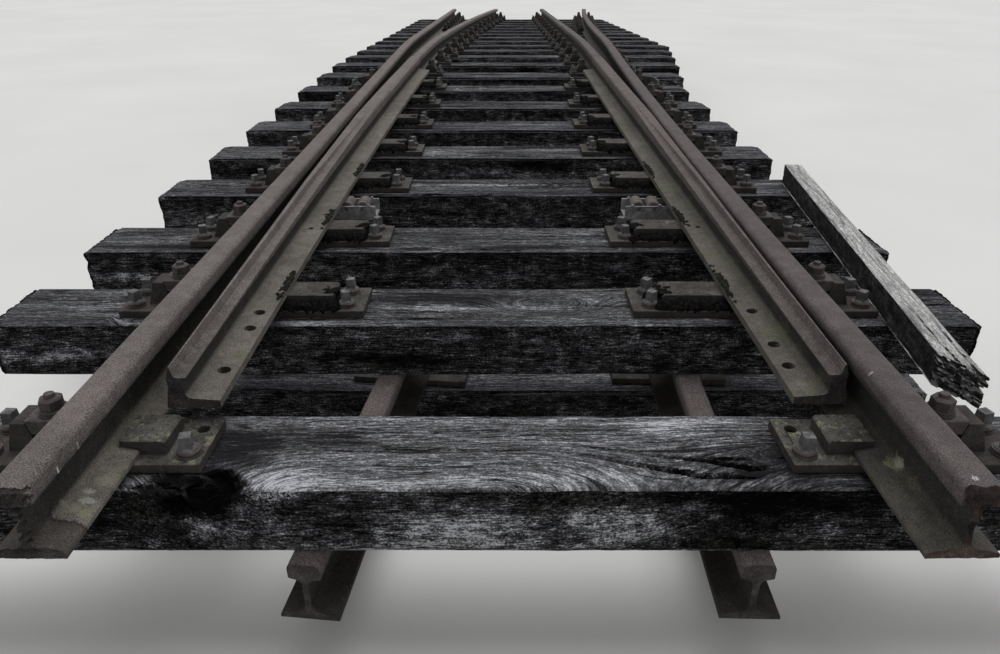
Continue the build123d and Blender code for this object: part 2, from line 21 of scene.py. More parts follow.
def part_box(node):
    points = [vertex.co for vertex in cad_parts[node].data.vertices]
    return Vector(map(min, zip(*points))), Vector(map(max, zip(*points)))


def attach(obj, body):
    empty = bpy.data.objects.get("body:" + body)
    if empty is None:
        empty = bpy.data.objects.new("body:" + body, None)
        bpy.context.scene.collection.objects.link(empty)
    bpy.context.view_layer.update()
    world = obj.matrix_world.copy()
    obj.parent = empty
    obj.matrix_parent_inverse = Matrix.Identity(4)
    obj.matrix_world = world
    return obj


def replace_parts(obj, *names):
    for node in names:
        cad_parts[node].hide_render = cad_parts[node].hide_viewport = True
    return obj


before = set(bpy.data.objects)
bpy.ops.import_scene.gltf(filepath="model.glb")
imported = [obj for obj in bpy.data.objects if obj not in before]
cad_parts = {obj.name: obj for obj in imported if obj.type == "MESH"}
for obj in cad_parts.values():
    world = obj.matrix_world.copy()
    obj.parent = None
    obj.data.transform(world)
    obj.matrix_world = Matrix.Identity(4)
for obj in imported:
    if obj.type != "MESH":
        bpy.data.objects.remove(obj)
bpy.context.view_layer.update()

MM = 0.001
TINY = 1e-5
SIDES = {"left": -1, "right": 1}
scene = bpy.context.scene

# %% [markdown]
# ## Camera
#
# The picture was taken with a wide lens, standing between the rails, a little above knee height
# over the rail tops and looking down the track. Three numbers fix such a view: where the eye is,
# how far it looks down, and how wide it sees. A focal length in pixels is turned into the lens
# length that Blender wants.

# %% Camera
PICTURE_WIDTH = 1000
FOCAL_PIXELS = 750
eye = Vector((-0.19, -7.490391, 1.386))
eye_pitch = radians(27.3)

camera_data = bpy.data.cameras.new("eye")
camera_data.lens = camera_data.sensor_width * FOCAL_PIXELS / PICTURE_WIDTH
camera = bpy.data.objects.new("eye", camera_data)
camera.location = eye
camera.rotation_euler = (pi / 2 - eye_pitch, 0, 0)
scene.collection.objects.link(camera)
scene.camera = camera
print("lens", round(camera_data.lens, 2), "mm")

# %% [markdown]
# ## Shader sums
#
# A material is mostly sums: this noise times that mask, less a bit. Written as nodes they are hard
# to read, so a small class wraps a socket and lets Python's own signs add the Math nodes. A second
# class holds one material and makes any other node from its type, its settings and its inputs.


# %% Sums on sockets
class Amount:
    """A number socket that can stand in a Python sum."""

    def __init__(self, finish, socket):
        self.finish = finish
        self.socket = socket

    def sum(self, operation, first, second=0.0):
        node = self.finish.add("ShaderNodeMath", {"operation": operation}, {0: first, 1: second})
        return Amount(self.finish, node.outputs[0])

    def __add__(self, other):
        return self.sum("ADD", self, other)

    __radd__ = __add__

    def __sub__(self, other):
        return self.sum("SUBTRACT", self, other)

    def __rsub__(self, other):
        return self.sum("SUBTRACT", other, self)

    def __mul__(self, other):
        return self.sum("MULTIPLY", self, other)

    __rmul__ = __mul__

    def __abs__(self):
        return self.sum("ABSOLUTE", self)

    def at_least(self, other):
        return self.sum("MAXIMUM", self, other)

    def at_most(self, other):
        return self.sum("MINIMUM", self, other)


# %% One material
class Finish:
    """A material that is built up from named steps."""

    def __init__(self, name, roughness, shine=0.2):
        self.material = bpy.data.materials.new(name)
        self.material.use_nodes = True
        self.tree = self.material.node_tree
        self.shader = self.tree.nodes["Principled BSDF"]
        self.shader.inputs["Roughness"].default_value = roughness
        self.shader.inputs["Specular IOR Level"].default_value = shine
        where = self.add("ShaderNodeTexCoord")
        self.place = where.outputs["Object"]
        self.x, self.y, self.z = self.split(self.place)
        self.normal_x, self.normal_y, self.normal_z = self.split(where.outputs["Normal"])

    def add(self, kind, settings=None, inputs=None):
        node = self.tree.nodes.new(kind)
        for key, value in (settings or {}).items():
            setattr(node, key, value)
        for key, value in (inputs or {}).items():
            if isinstance(value, Amount):
                value = value.socket
            if isinstance(value, bpy.types.NodeSocket):
                self.tree.links.new(value, node.inputs[key])
            else:
                node.inputs[key].default_value = value
        return node

    def split(self, vector):
        """The three parts of a vector."""
        node = self.add("ShaderNodeSeparateXYZ", None, {0: vector})
        return [Amount(self, node.outputs[i]) for i in range(3)]

    def stretch(self, vector, factors, shift=(0, 0, 0)):
        """A vector with each part times a factor, then shifted."""
        node = self.add("ShaderNodeVectorMath", {"operation": "MULTIPLY_ADD"}, {0: vector, 1: factors, 2: shift})
        return node.outputs[0]

    def noise(self, per_metre, detail=3, roughness=0.55, vector=None, shift=(0, 0, 0)):
        """Noise between 0 and 1, with so many lumps to the metre along each axis."""
        if not isinstance(per_metre, tuple):
            per_metre = (per_metre,) * 3
        vector = self.stretch(self.place if vector is None else vector, per_metre, shift)
        inputs = {"Vector": vector, "Scale": 1, "Detail": detail, "Roughness": roughness}
        return Amount(self, self.add("ShaderNodeTexNoise", None, inputs).outputs["Fac"])

    def tone(self, *settings, **more):
        """Noise as a tone: zero in the middle and seldom beyond 2 either way."""
        return (self.noise(*settings, **more) - 0.5) * 12

    def step(self, value, low, high):
        """0 below low, 1 above high, smooth between, and the other way round if high is lower."""
        inputs = {"Value": value, "From Min": low, "From Max": high}
        return Amount(self, self.add("ShaderNodeMapRange", {"interpolation_type": "SMOOTHSTEP"}, inputs).outputs[0])

    def ramp(self, value, stops):
        """Colour that runs through the stops as the value grows."""
        node = self.add("ShaderNodeValToRGB", None, {0: value})
        scale = node.color_ramp.elements
        while len(scale) < len(stops):
            scale.new(0.5)
        for element, (position, colour) in zip(scale, stops):
            element.position = position
            element.color = (*colour, 1)
        return node.outputs[0]

    def tones(self, tone, middle, spread, tint=(1, 1, 1)):
        """Colour for a tone from -3 to 3, where each step makes it lighter by the same factor."""
        stops = [((step + 3) / 6, tuple(min(0.85, middle * exp(spread * step) * part) for part in tint))
                 for step in range(-3, 4)]
        return self.ramp(tone * (1 / 6) + 0.5, stops)

    def mix(self, share, under, over):
        """One colour over another."""
        under, over = ((*colour, 1) if isinstance(colour, tuple) else colour for colour in (under, over))
        return self.add("ShaderNodeMix", {"data_type": "RGBA"}, {0: share, 6: under, 7: over}).outputs[2]

    def spot(self, centre, reach, ragged=0.7):
        """Mask of a ragged patch on the surface, with a reach along each axis."""
        nearer = tuple(-place / size for place, size in zip(centre, reach))
        offset = self.stretch(self.place, tuple(1 / size for size in reach), nearer)
        apart = self.add("ShaderNodeVectorMath", {"operation": "LENGTH"}, {0: offset}).outputs["Value"]
        edge = self.noise(1.6 / min(reach), 5, 0.7)
        return self.step(Amount(self, apart) + (edge - 0.5) * (4 * ragged), 1.0, 0.8)

    def finish(self, colour, height=None, depth=1.0):
        """Puts the colour, and the bumps as a height times a depth in metres, into the shader."""
        self.tree.links.new(colour, self.shader.inputs["Base Color"])
        if height is not None:
            bump = self.add("ShaderNodeBump", None, {"Height": height, "Distance": depth, "Strength": 1.0})
            self.tree.links.new(bump.outputs[0], self.shader.inputs["Normal"])
        return self.material


# %% [markdown]
# ## Floor and light
#
# The sky is overcast, so the light comes softly from above and a little from the far end. A wide
# sun gives its direction and the world fills in the rest. Together they light a surface that faces
# up to about the colour it is given.

# %% Floor and light
FLOOR_REACH = 80
floor_finish = Finish("pale_floor", 0.9)
floor_mesh = bpy.data.meshes.new("floor")
shape = bmesh.new()
bmesh.ops.create_grid(shape, x_segments=1, y_segments=1, size=FLOOR_REACH)
shape.to_mesh(floor_mesh)
shape.free()
floor = bpy.data.objects.new("floor", floor_mesh)
floor_tone = floor_finish.noise(0.6, 2)
floor.data.materials.append(floor_finish.finish(
    floor_finish.ramp(floor_tone, [(0.3, (0.56, 0.56, 0.55)), (0.7, (0.6, 0.6, 0.59))])))
scene.collection.objects.link(floor)

sun_data = bpy.data.lights.new("sun", "SUN")
sun_data.energy = 1.9
sun_data.angle = radians(50)
sun = bpy.data.objects.new("sun", sun_data)
sun.rotation_euler = (radians(-16), radians(6), 0)
scene.collection.objects.link(sun)

world = bpy.data.worlds.new("sky")
world.use_nodes = True
background = world.node_tree.nodes["Background"]
background.inputs["Color"].default_value = (0.62, 0.62, 0.62, 1)
background.inputs["Strength"].default_value = 1.0
scene.world = world
scene.view_settings.view_transform = "Standard"

# %% [markdown]
# ## Where the sleepers lie
#
# The near sleepers are level and the far ones lie on a slope. Each sleeper's largest upward face
# gives the way up, and its box gives the middle, so everything that stands on a sleeper can be
# placed from that sleeper's own seat and tilts with it.

# %% Seats on the sleepers
DECK_BASE = 289 * MM
SLEEPER_HEIGHT = 160 * MM
SLEEPER_WIDTH = 260 * MM
PLATE_THICKNESS = 20 * MM
PLATE_TOP = DECK_BASE + SLEEPER_HEIGHT + PLATE_THICKNESS
SEAT_GAP = 0.3 * MM


def box_of(node):
    """Lowest and highest corner of a frame node."""
    return [Vector(corner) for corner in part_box(node)]


def top_of(node, height):
    """Matrix on a timber's top: X along the timber, Z out of it, its origin in the middle."""
    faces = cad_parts[node].data.polygons
    up = max(faces, key=lambda face: face.normal.z * face.area).normal.copy()
    low, high = box_of(node)
    middle = (low + high) / 2
    across = Vector((1, 0, 0))
    turn = Matrix((across, up.cross(across), up)).transposed().to_4x4()
    return Matrix.Translation(middle + up * height / 2) @ turn


sleeper_nodes = sorted(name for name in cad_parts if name.startswith("sleeper_"))
seats = {name: top_of(name, SLEEPER_HEIGHT) for name in sleeper_nodes}
slope = seats[sleeper_nodes[-1]].to_3x3() @ Vector((0, 0, 1))
BEND_START = -1.24
BEND_RADIUS = 30.0
bend_run = BEND_RADIUS * slope.y
print(len(seats), "sleepers, the last tilted", round(slope.y * 180 / pi, 2), "degrees")

# %% [markdown]
# ## Making pieces
#
# Every new piece goes the same way: its bmesh becomes a mesh, its object stays at the origin, it
# gets a finish, and it rides on a body of the frame. Loose triangles of the frame's solids are
# merged in a copy when their corners or faces have to be found. Its faces are visited in their own
# order, and never in that of a set, so that each run gives the same panel.


# %% Helpers for pieces
def piece(name, shape, finish, body="panel", smooth_below=35):
    """Object from a bmesh, riding on a body."""
    mesh = bpy.data.meshes.new(name)
    shape.normal_update()
    shape.to_mesh(mesh)
    shape.free()
    mesh.materials.append(finish)
    mesh.polygons.foreach_set("use_smooth", [True] * len(mesh.polygons))
    mesh.set_sharp_from_angle(angle=radians(smooth_below))
    made = bpy.data.objects.new(name, mesh)
    scene.collection.objects.link(made)
    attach(made, body)
    return made


def merged(node):
    """Bmesh of a frame node with its loose triangles joined."""
    shape = bmesh.new()
    shape.from_mesh(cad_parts[node].data)
    bmesh.ops.remove_doubles(shape, verts=shape.verts, dist=TINY)
    return shape


def solids_of(node):
    """The faces of each separate solid in a frame node, with the bmesh that holds them."""
    shape = merged(node)
    found = set()
    solids = []
    for first in shape.faces:
        if first in found:
            continue
        found.add(first)
        ready = [first]
        solid = []
        while ready:
            face = ready.pop()
            solid.append(face)
            for edge in face.edges:
                for other in edge.link_faces:
                    if other not in found:
                        found.add(other)
                        ready.append(other)
        solids.append(solid)
    return shape, solids


def corners(solid):
    """Lowest and highest corner of a solid."""
    points = [vert.co for face in solid for vert in face.verts]
    return (Vector(min(p[i] for p in points) for i in range(3)),
            Vector(max(p[i] for p in points) for i in range(3)))


# %% [markdown]
# ## Weathered timber
#
# Oak that has lain outside for decades loses its soft wood first. The hard grain stands up in
# ridges, long checks open along it, edges round off and the ends crack. A flat box with a picture
# of grain would look printed, so each sleeper is a block cut fine across its grain and coarser
# along it, and its skin is worn inwards by noise that is stretched along the grain. Nothing moves
# outwards, so the sleeper stays inside the size that it was sawn to.
#
# The grain flows round knots as water flows round a stone. That is worked out per corner and kept
# in an attribute, and the material reads its streaks from there.


# %% Timber blocks
def block(length, width, height, long_step, cross_step):
    """Squared timber with its top at zero, cut along and across into small faces."""
    shape = bmesh.new()
    bmesh.ops.create_cube(shape, size=1)
    bmesh.ops.scale(shape, vec=(length, width, height), verts=shape.verts)
    bmesh.ops.translate(shape, vec=(0, 0, -height / 2), verts=shape.verts)
    for axis, size, step in ((0, length, long_step), (1, width, cross_step), (2, height, cross_step)):
        edges = [e for e in shape.edges if abs(e.verts[0].co[axis] - e.verts[1].co[axis]) > TINY]
        bmesh.ops.subdivide_edges(shape, edges=edges, cuts=round(size / step) - 1, use_grid_fill=True)
    return shape


def smooth(share):
    """From 0 to 1 with soft ends."""
    share = min(1, max(0, share))
    return share * share * (3 - 2 * share)


def grain_at(x, y, z, seed, knots):
    """Where a point lies in the grain: along it, across it and down into it."""
    across = y + z + 0.012 * noise.noise((x * 1.6 + seed, y * 3, seed))
    for from_x, to_x, knot_y, reach, left, right in knots:
        beyond = max((from_x - x) / left, (x - to_x) / right, 0)
        apart = hypot(beyond, across - knot_y)
        keep = smooth((apart / reach - 1) / 2.5)
        across = (knot_y + apart) * (1 - keep) + across * keep
    return Vector((x + 3 * seed, across, z))


def crack_depth(x, fold, cracks, widest):
    """How deep the open cracks are at a point of the top, or of the front folded up to it."""
    fold += 0.003 * noise.noise((x * 14, fold * 9, 0)) + 0.0015 * noise.noise((x * 60, fold * 30, 4))
    deepest = 0
    for points in cracks:
        if not points[0][0] - 0.03 < x < points[-1][0] + 0.03:
            continue
        for (x_from, y_from, from_width), (x_to, y_to, to_width) in zip(points, points[1:]):
            way_x, way_y = x_to - x_from, y_to - y_from
            share = ((x - x_from) * way_x + (fold - y_from) * way_y) / (way_x ** 2 + way_y ** 2)
            share = min(1, max(0, share))
            width = from_width + (to_width - from_width) * share
            apart = hypot(x - x_from - way_x * share, fold - y_from - way_y * share)
            deepest = max(deepest, 2.6 * width * (1 - apart / (max(width, widest) + TINY)))
    return deepest


def weather(shape, length, width, height, seed, knots=(), cracks=(), hollows=(), stains=(), bias=0.0, wear=1.0,
            cell=0.0):
    """Wears a block's skin inwards, and notes its grain, hollows and stains for the material."""
    grain_layer = shape.verts.layers.float_vector.new("grain")
    hollow_layer = shape.verts.layers.float.new("hollow")
    stain_layer = shape.verts.layers.float.new("stain")
    half_long, half_wide = length / 2 - TINY, width / 2 - TINY
    rounding = 0.012 * wear

    def edge_loss(distance, x):
        return rounding * max(0, 1 - distance / rounding) ** 2 * (0.7 + 0.6 * noise.noise((x * 5, seed, distance)))

    for vert in shape.verts:
        x, y, z = vert.co
        grain = grain_at(x, y, z, seed, knots)
        ridge = noise.noise((grain.x * 3.5, grain.y * 120, z * 30))
        wave = noise.noise((grain.x * 1.3, grain.y * 16, z * 5))
        lump = noise.noise((grain.x * 17, y * 34, z * 34))
        chip = noise.noise((grain.x * 45, y * 90, z * 90))
        loss = wear * MM * (2 + 1.7 * ridge + 2.2 * abs(wave))
        hollow = crack_depth(x, y + z, cracks, cell) if y > -half_wide - 2 * TINY and z > -height + TINY else 0
        if abs(y) > half_wide and y > 0:
            hollow = 0
        for hollow_x, hollow_y, hollow_z, reach, depth in hollows:
            apart = hypot(x - hollow_x, y - hollow_y, (z - hollow_z) * 1.3) / reach
            rough = 0.6 * (lump + 0.7 * chip) * smooth(1.4 - apart)
            hollow = max(hollow, depth * (max(0, 1 - apart ** 2) + rough))
        stain = bias
        for stain_x, stain_y, stain_z, reach_x, reach_yz, amount in stains:
            apart = hypot((x - stain_x) / reach_x, (y - stain_y) / reach_yz, (z - stain_z) / reach_yz)
            stain += amount * smooth(1.25 - apart + 0.25 * lump)
        moved = Vector((x, y, z))
        if z > -TINY:
            moved.z -= loss + hollow + edge_loss(half_wide - abs(y), x) + edge_loss(half_long - abs(x), y)
        if z < -height + TINY:
            moved.z += loss
        if abs(y) > half_wide:
            side = 1 if y > 0 else -1
            rough = wear * MM * (4.2 + 4.2 * lump + 1.6 * chip)
            moved.y -= side * (loss + rough + hollow + edge_loss(-z, x) + edge_loss(half_long - abs(x), z))
        if abs(x) > half_long:
            end = 1 if x > 0 else -1
            split = abs(noise.noise((y * 16, z * 9, seed)))
            moved.x -= end * (2 * loss + 0.004 * wear * (1 + 0.5 * lump) + 0.007 * max(0, 1 - split * 12))
        vert.co = moved
        vert[grain_layer] = grain
        vert[hollow_layer] = hollow
        vert[stain_layer] = stain


# %% [markdown]
# ## The look of old oak
#
# Bare oak turns silver on top where rain washes it. Its sides and ends are darker, partly from the tar,
# moss and dirt that hold on there and partly as painted shade, and its hollows and open cracks are
# painted nearly black as shade. Four noises of different fineness, all stretched along the grain, give
# the streaks, and a fine one gives specks. A thin line where a stretched noise crosses its middle value
# makes long dark checks. The sides are blotched instead, and the ends show rings.


# %% Timber finish
def timber_finish(name, top_middle, top_spread, side_middle, side_spread, tint, moss_share=0.35):
    """Oak whose top is streaked, and whose sides are blotched and darker, partly as painted shade."""
    wood = Finish(name, 0.95, 0.02)
    grain = wood.add("ShaderNodeAttribute", {"attribute_name": "grain"}).outputs["Vector"]
    hollow, stain = (Amount(wood, wood.add("ShaderNodeAttribute", {"attribute_name": kept}).outputs["Fac"])
                     for kept in ("hollow", "stain"))
    broad = wood.tone((1.3, 22, 6), 3, 0.6, grain)
    patch = wood.tone((2.2, 8, 8), 4, 0.6, grain, (9, 4, 2))
    streak = wood.tone((9, 100, 40), 4, 0.7, grain)
    fibre = wood.tone((48, 240, 110), 3, 0.7, grain)
    speck = wood.tone((210, 240, 240), 3, 0.7)
    check = wood.step(abs(wood.tone((1.2, 26, 5), 2, 0.5, grain, (5, 8, 3))), 0.16, 0.03)
    short_check = wood.step(abs(wood.tone((6, 85, 20), 2, 0.5, grain, (2, 6, 1))), 0.3, 0.05)
    worn = wood.step(patch, -1.2, 0.8)
    lined = check * 2.4 + short_check * worn * 1.3
    # The hollow term darkens the top with depth: painted shade in hollows and cracks.
    tone = broad * 0.3 + patch * 0.35 + streak * 0.75 + fibre * 0.85 + speck * 0.6 - lined - hollow * 330 + stain
    top = wood.tones(tone, top_middle, top_spread, tint)
    blotch = wood.tone((20, 32, 32), 7, 0.76)
    thread = wood.tone((26, 200, 200), 4, 0.75, grain, (3, 3, 3))
    side_tone = blotch * 0.75 + patch * 0.3 + thread * 0.8 + speck * 0.7 - short_check + stain
    # The sides and ends take the darker side middle: partly tar, moss and dirt, partly painted shade.
    side = wood.tones(side_tone, side_middle, side_spread, tint)
    moss = wood.step(wood.tone(6, 5, 0.7, None, (1, 2, 3)) + wood.tone(60, 3, 0.6) * 0.4, 0.4, 1.6)
    green = wood.tones(thread * 0.7 + speck * 0.5, 0.024, 0.7, (1.02, 1.06, 0.76))
    side = wood.mix(moss * moss_share, side, green)
    _, across, down = wood.split(grain)
    wide, deep = across - down, down + 0.2
    rings = wood.add("ShaderNodeCombineXYZ", None, {0: wide * wide + deep * deep})
    ring = wood.tone((1400, 0, 0), 2, 0.6, rings.outputs[0])
    end = wood.tones(ring * 0.6 + blotch * 0.6 + speck * 0.4, side_middle, side_spread, tint)
    colour = wood.mix(wood.step(abs(wood.normal_y), 0.45, 0.8), top, side)
    colour = wood.mix(wood.step(abs(wood.normal_x), 0.6, 0.85), colour, end)
    # Painted shade: hollows and open cracks go nearly black.
    colour = wood.mix(wood.step(hollow, 0.002, 0.022) * 0.94, colour, (0.0015, 0.0015, 0.0015))
    height = streak * 0.1 + fibre * 0.06 + blotch * 0.06 + thread * 0.04 - lined * 0.3
    return wood.finish(colour, height, 0.0024)


SILVER = (0.97, 0.98, 1.05)
# The side middles lie far below the top middles; that darkness is partly painted shade.
oak = timber_finish("weathered_oak", 0.078, 0.56, 0.022, 1.0, SILVER)
pale_oak = timber_finish("bleached_oak", 0.32, 0.27, 0.035, 0.7, (1.0, 1.0, 0.99), 0.2)

# %% [markdown]
# ## The sleepers
#
# The first sleeper fills the foreground. A big knot at its front edge has rotted to a hollow, and
# the grain turns round it. Long checks cross its top, and on the right they open into a split. The
# others are worn in the same way, each from its own seed, and with coarser faces the farther they
# lie. The first one's knots, cracks, hollows and stains are placed as they lie on the real one: its
# stains are a place, two reaches, and how much lighter or darker they make the wood.

# %% Sleepers
LONG_STEP, CROSS_STEP = 50 * MM, 12 * MM
FIRST_STEPS = (12 * MM, 3.1 * MM)
FRONT_EDGE = -6.3554
FIRST_TOP = DECK_BASE + SLEEPER_HEIGHT
FIRST_KNOTS = [(-0.57, -0.21, FRONT_EDGE - 0.012, 0.085, 1.35, 2.4), (0.362, 0.37, -6.236, 0.012, 1.2, 1.2)]
FIRST_CRACKS = [
    [(-0.61, FRONT_EDGE - 0.062, 0), (-0.597, FRONT_EDGE - 0.03, 0.003), (-0.59, FRONT_EDGE + 0.02, 0.0026),
     (-0.565, FRONT_EDGE + 0.043, 0.002), (-0.50, FRONT_EDGE + 0.053, 0)],
    [(-0.54, -6.229, 0.001), (-0.35, -6.226, 0.0022), (-0.2, -6.229, 0.0012), (-0.06, -6.2225, 0.0022),
     (0.09, -6.278, 0.005), (0.2161, -6.311, 0.01), (0.30, -6.311, 0.009), (0.35, -6.30, 0.001)],
    [(-0.12, -6.205, 0), (0.0, -6.216, 0.002), (0.12, -6.243, 0.0028), (0.217, -6.262, 0.006),
     (0.32, -6.285, 0.009), (0.37, -6.288, 0)],
    [(0.2, -6.245, 0), (0.26, -6.256, 0.005), (0.31, -6.256, 0.004), (0.34, -6.25, 0)],
    [(-0.2, -6.30, 0), (-0.14, -6.33, 0.0015), (-0.08, -6.352, 0.001)],
    [(-0.24, -6.31, 0), (-0.18, -6.335, 0.0015), (-0.13, -6.352, 0.001)],
    [(0.342, -6.243, 0.001), (0.35, -6.226, 0.0026), (0.38, -6.215, 0.001)],
    [(0.37, -6.252, 0.001), (0.44, -6.252, 0.0022), (0.5, -6.247, 0)],
]
FIRST_HOLLOWS = [(-0.75, FRONT_EDGE - 0.005, 0.445, 0.072, 0.042), (-0.84, FRONT_EDGE, 0.42, 0.07, 0.022),
                 (0.31, -6.30, FIRST_TOP, 0.035, 0.006)]
TOP_STAINS = [
    (-0.8, -6.24, 0.12, 0.1, -2.8), (-0.62, -6.185, 0.21, 0.05, -2.4), (-0.7, -6.24, 0.07, 0.055, -1.8),
    (-0.61, -6.33, 0.095, 0.042, 2.9), (-0.42, -6.34, 0.18, 0.022, 1.9), (-0.13, -6.325, 0.2, 0.028, 1.5),
    (0.26, -6.15, 0.24, 0.05, 1.2), (0.36, -6.27, 0.12, 0.045, -1.2), (0.47, -6.22, 0.14, 0.1, -1.5),
    (-0.25, -6.12, 0.3, 0.03, 0.5), (0.5, -6.25, 0.22, 0.1, -0.8), (0.3, -6.22, 0.28, 0.1, -0.5),
    (0.17, -6.14, 0.08, 0.04, 1.2), (0.56, -6.33, 0.2, 0.035, -1.2),
]
FRONT_STAINS = [
    (-0.95, 0.38, 0.28, 0.09, -1.3), (-0.78, 0.345, 0.06, 0.03, 1.6), (-0.5, 0.37, 0.13, 0.07, -0.9),
    (-0.28, 0.34, 0.17, 0.055, 1.5), (0.03, 0.35, 0.11, 0.055, 1.9), (-0.3, 0.3, 0.35, 0.016, 1.3),
    (0.0, 0.425, 0.45, 0.022, -1.3), (0.27, 0.305, 0.09, 0.02, -2.0), (0.45, 0.4, 0.22, 0.04, -0.6),
    (0.62, 0.37, 0.3, 0.08, -0.9), (0.36, 0.42, 0.22, 0.045, -1.5), (0.31, 0.36, 0.13, 0.09, -1.4),
    (0.235, 0.375, 0.02, 0.012, 2.5),
]
FIRST_STAINS = [(x, y, FIRST_TOP, *rest) for x, y, *rest in TOP_STAINS]
FIRST_STAINS += [(x, FRONT_EDGE, z, *rest) for x, z, *rest in FRONT_STAINS]
FIRST_STAINS += [(-0.78, -6.34, 0.43, 0.09, 0.06, -2.6)]


def sleeper(name, number):
    """A worn sleeper in place of a plain one."""
    seat = seats[name]
    low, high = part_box(name)
    length = high[0] - low[0]
    fine = min(1.0, 0.24 + 0.13 * number) if number < 9 else 1.3
    long_step, cross_step = FIRST_STEPS if number == 1 else (LONG_STEP * fine, CROSS_STEP * fine)
    shape = block(length, SLEEPER_WIDTH, SLEEPER_HEIGHT, long_step, cross_step)
    knots, cracks, hollows = [], [], []
    stains = [(0, -SLEEPER_WIDTH / 2, -0.09, length, 0.07, 0.6)]
    to_seat = seat.inverted()

    def local(x, y, z=seat.translation.z):
        return to_seat @ Vector((x, y, z))

    if number == 1:
        for from_x, to_x, y, *rest in FIRST_KNOTS:
            knots.append((local(from_x, y).x, local(to_x, y).x, local(0, y).y, *rest))
        for points in FIRST_CRACKS:
            cracks.append([(*local(x, y).xy, width) for x, y, width in points])
        hollows = [(*local(x, y, z), reach, depth) for x, y, z, reach, depth in FIRST_HOLLOWS]
        stains = [(*local(x, y, z), *rest) for x, y, z, *rest in FIRST_STAINS]
    else:
        chance = Random(number + 40)
        for _ in range(chance.randint(1, 3)):
            x = chance.uniform(-0.45, 0.45) * length
            knots.append((x, x + chance.uniform(0, 0.12), chance.uniform(-0.16, 0.1), chance.uniform(0.015, 0.05),
                          chance.uniform(1.2, 2.5), chance.uniform(1.2, 2.5)))
        for _ in range(7):
            x, y = chance.uniform(-0.5, 0.4) * length, chance.uniform(-0.11, 0.11)
            width = chance.uniform(1.5, 4.5) * MM
            points = [(x, y, 0)]
            for _ in range(chance.randint(2, 4)):
                x += chance.uniform(0.08, 0.3)
                y += chance.uniform(-0.012, 0.012)
                points.append((x, y, width))
            cracks.append(points + [(x + 0.1, y, 0)])
        for _ in range(12):
            stains.append((chance.uniform(-0.5, 0.5) * length, chance.uniform(-0.12, 0.12), 0,
                           chance.uniform(0.1, 0.5), chance.uniform(0.015, 0.04), chance.uniform(-2.6, 1.8)))
            stains.append((chance.uniform(-0.5, 0.5) * length, -SLEEPER_WIDTH / 2, chance.uniform(-0.15, -0.02),
                           chance.uniform(0.06, 0.3), chance.uniform(0.015, 0.035), chance.uniform(-1.8, 1.3)))
    weather(shape, length, SLEEPER_WIDTH, SLEEPER_HEIGHT, number * 1.7, knots, cracks, hollows, stains,
            0.2 if number == 1 else -0.35, cell=cross_step * 0.8)
    bmesh.ops.transform(shape, matrix=seat, verts=shape.verts)
    made = piece(f"worn_{name}", shape, oak)
    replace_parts(made, name)
    return made


faces = 0
for number, name in enumerate(sleeper_nodes, start=1):
    faces += len(sleeper(name, number).data.polygons)
print("sleepers have", faces, "faces")

# %% [markdown]
# ## Sleepers of the lower track
#
# Four sleepers under the lower rails are hardly seen. They are worn like the others, but coarser,
# and joined into one piece, as their solids share one node.

# %% Lower sleepers
shape, solids = solids_of("lower_sleepers")
boxes = [corners(solid) for solid in solids]
shape.free()
together = bmesh.new()
together.verts.layers.float_vector.new("grain")
for kept in ("hollow", "stain"):
    together.verts.layers.float.new(kept)
for number, (low, high) in enumerate(sorted(boxes, key=lambda box: box[0].y)):
    length, width, height = high - low
    shape = block(length, width, height, 60 * MM, 15 * MM)
    weather(shape, length, width, height, 40 + number)
    middle = (low + high) / 2
    bmesh.ops.translate(shape, vec=(middle.x, middle.y, high.z), verts=shape.verts)
    part = bpy.data.meshes.new("part")
    shape.to_mesh(part)
    shape.free()
    together.from_mesh(part)
    bpy.data.meshes.remove(part)
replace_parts(piece("worn_lower_sleepers", together, oak), "lower_sleepers")

# %% [markdown]
# ## The loose timber
#
# A squared post lies along the sleeper ends. It is bleached nearly white, and its near end has
# broken off across the grain, so it is slanted and splintered. The block is worn like a sleeper's,
# then the corners near that end are pulled back by fibres of different length.

# %% Loose timber
TIMBER = (1790 * MM, 74 * MM, 85 * MM)
TIMBER_SKEW = radians(6.9)
BREAK_SLANT = 0.11
SPLINTER = 0.035
timber_low, timber_high = box_of("loose_timber")
middle = (timber_low + timber_high) / 2
along = Vector((sin(TIMBER_SKEW), cos(TIMBER_SKEW), 0))
up = Vector((0, 0, 1))
turn = Matrix((along, up.cross(along), up)).transposed().to_4x4()
shape = block(*TIMBER, 9 * MM, 3 * MM)
weather(shape, *TIMBER, 77, wear=0.8, cell=0.003,
        cracks=[[(-0.9, 0.005, 0.004), (-0.6, 0.012, 0.002), (-0.3, 0.01, 0)],
                [(-0.9, -0.02, 0.003), (-0.7, -0.018, 0.002), (-0.5, -0.024, 0)]],
        stains=[(-0.35, 0, 0, 0.3, 0.06, 0.5), (-0.85, 0, -0.04, 0.12, 0.06, -1.6),
                (-0.6, 0.02, 0, 0.12, 0.03, -1.5)])
for vert in shape.verts:
    x, y, z = vert.co
    left_share = 0.5 + y / TIMBER[1]
    layer = noise.noise((y * 25, z * 110, 3)) + 0.6 * noise.noise((y * 160, z * 210, 5))
    cut = BREAK_SLANT * left_share + SPLINTER * abs(layer)
    near = max(0, 1 - (x + TIMBER[0] / 2) / 0.25)
    vert.co.x += cut * near ** 1.5
bmesh.ops.transform(shape, matrix=Matrix.Translation((middle.x, middle.y, timber_high.z)) @ turn, verts=shape.verts)
loose = piece("splintered_timber", shape, pale_oak, smooth_below=50)
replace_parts(loose, "loose_timber")
print("timber", [round(v, 3) for v in loose.dimensions])
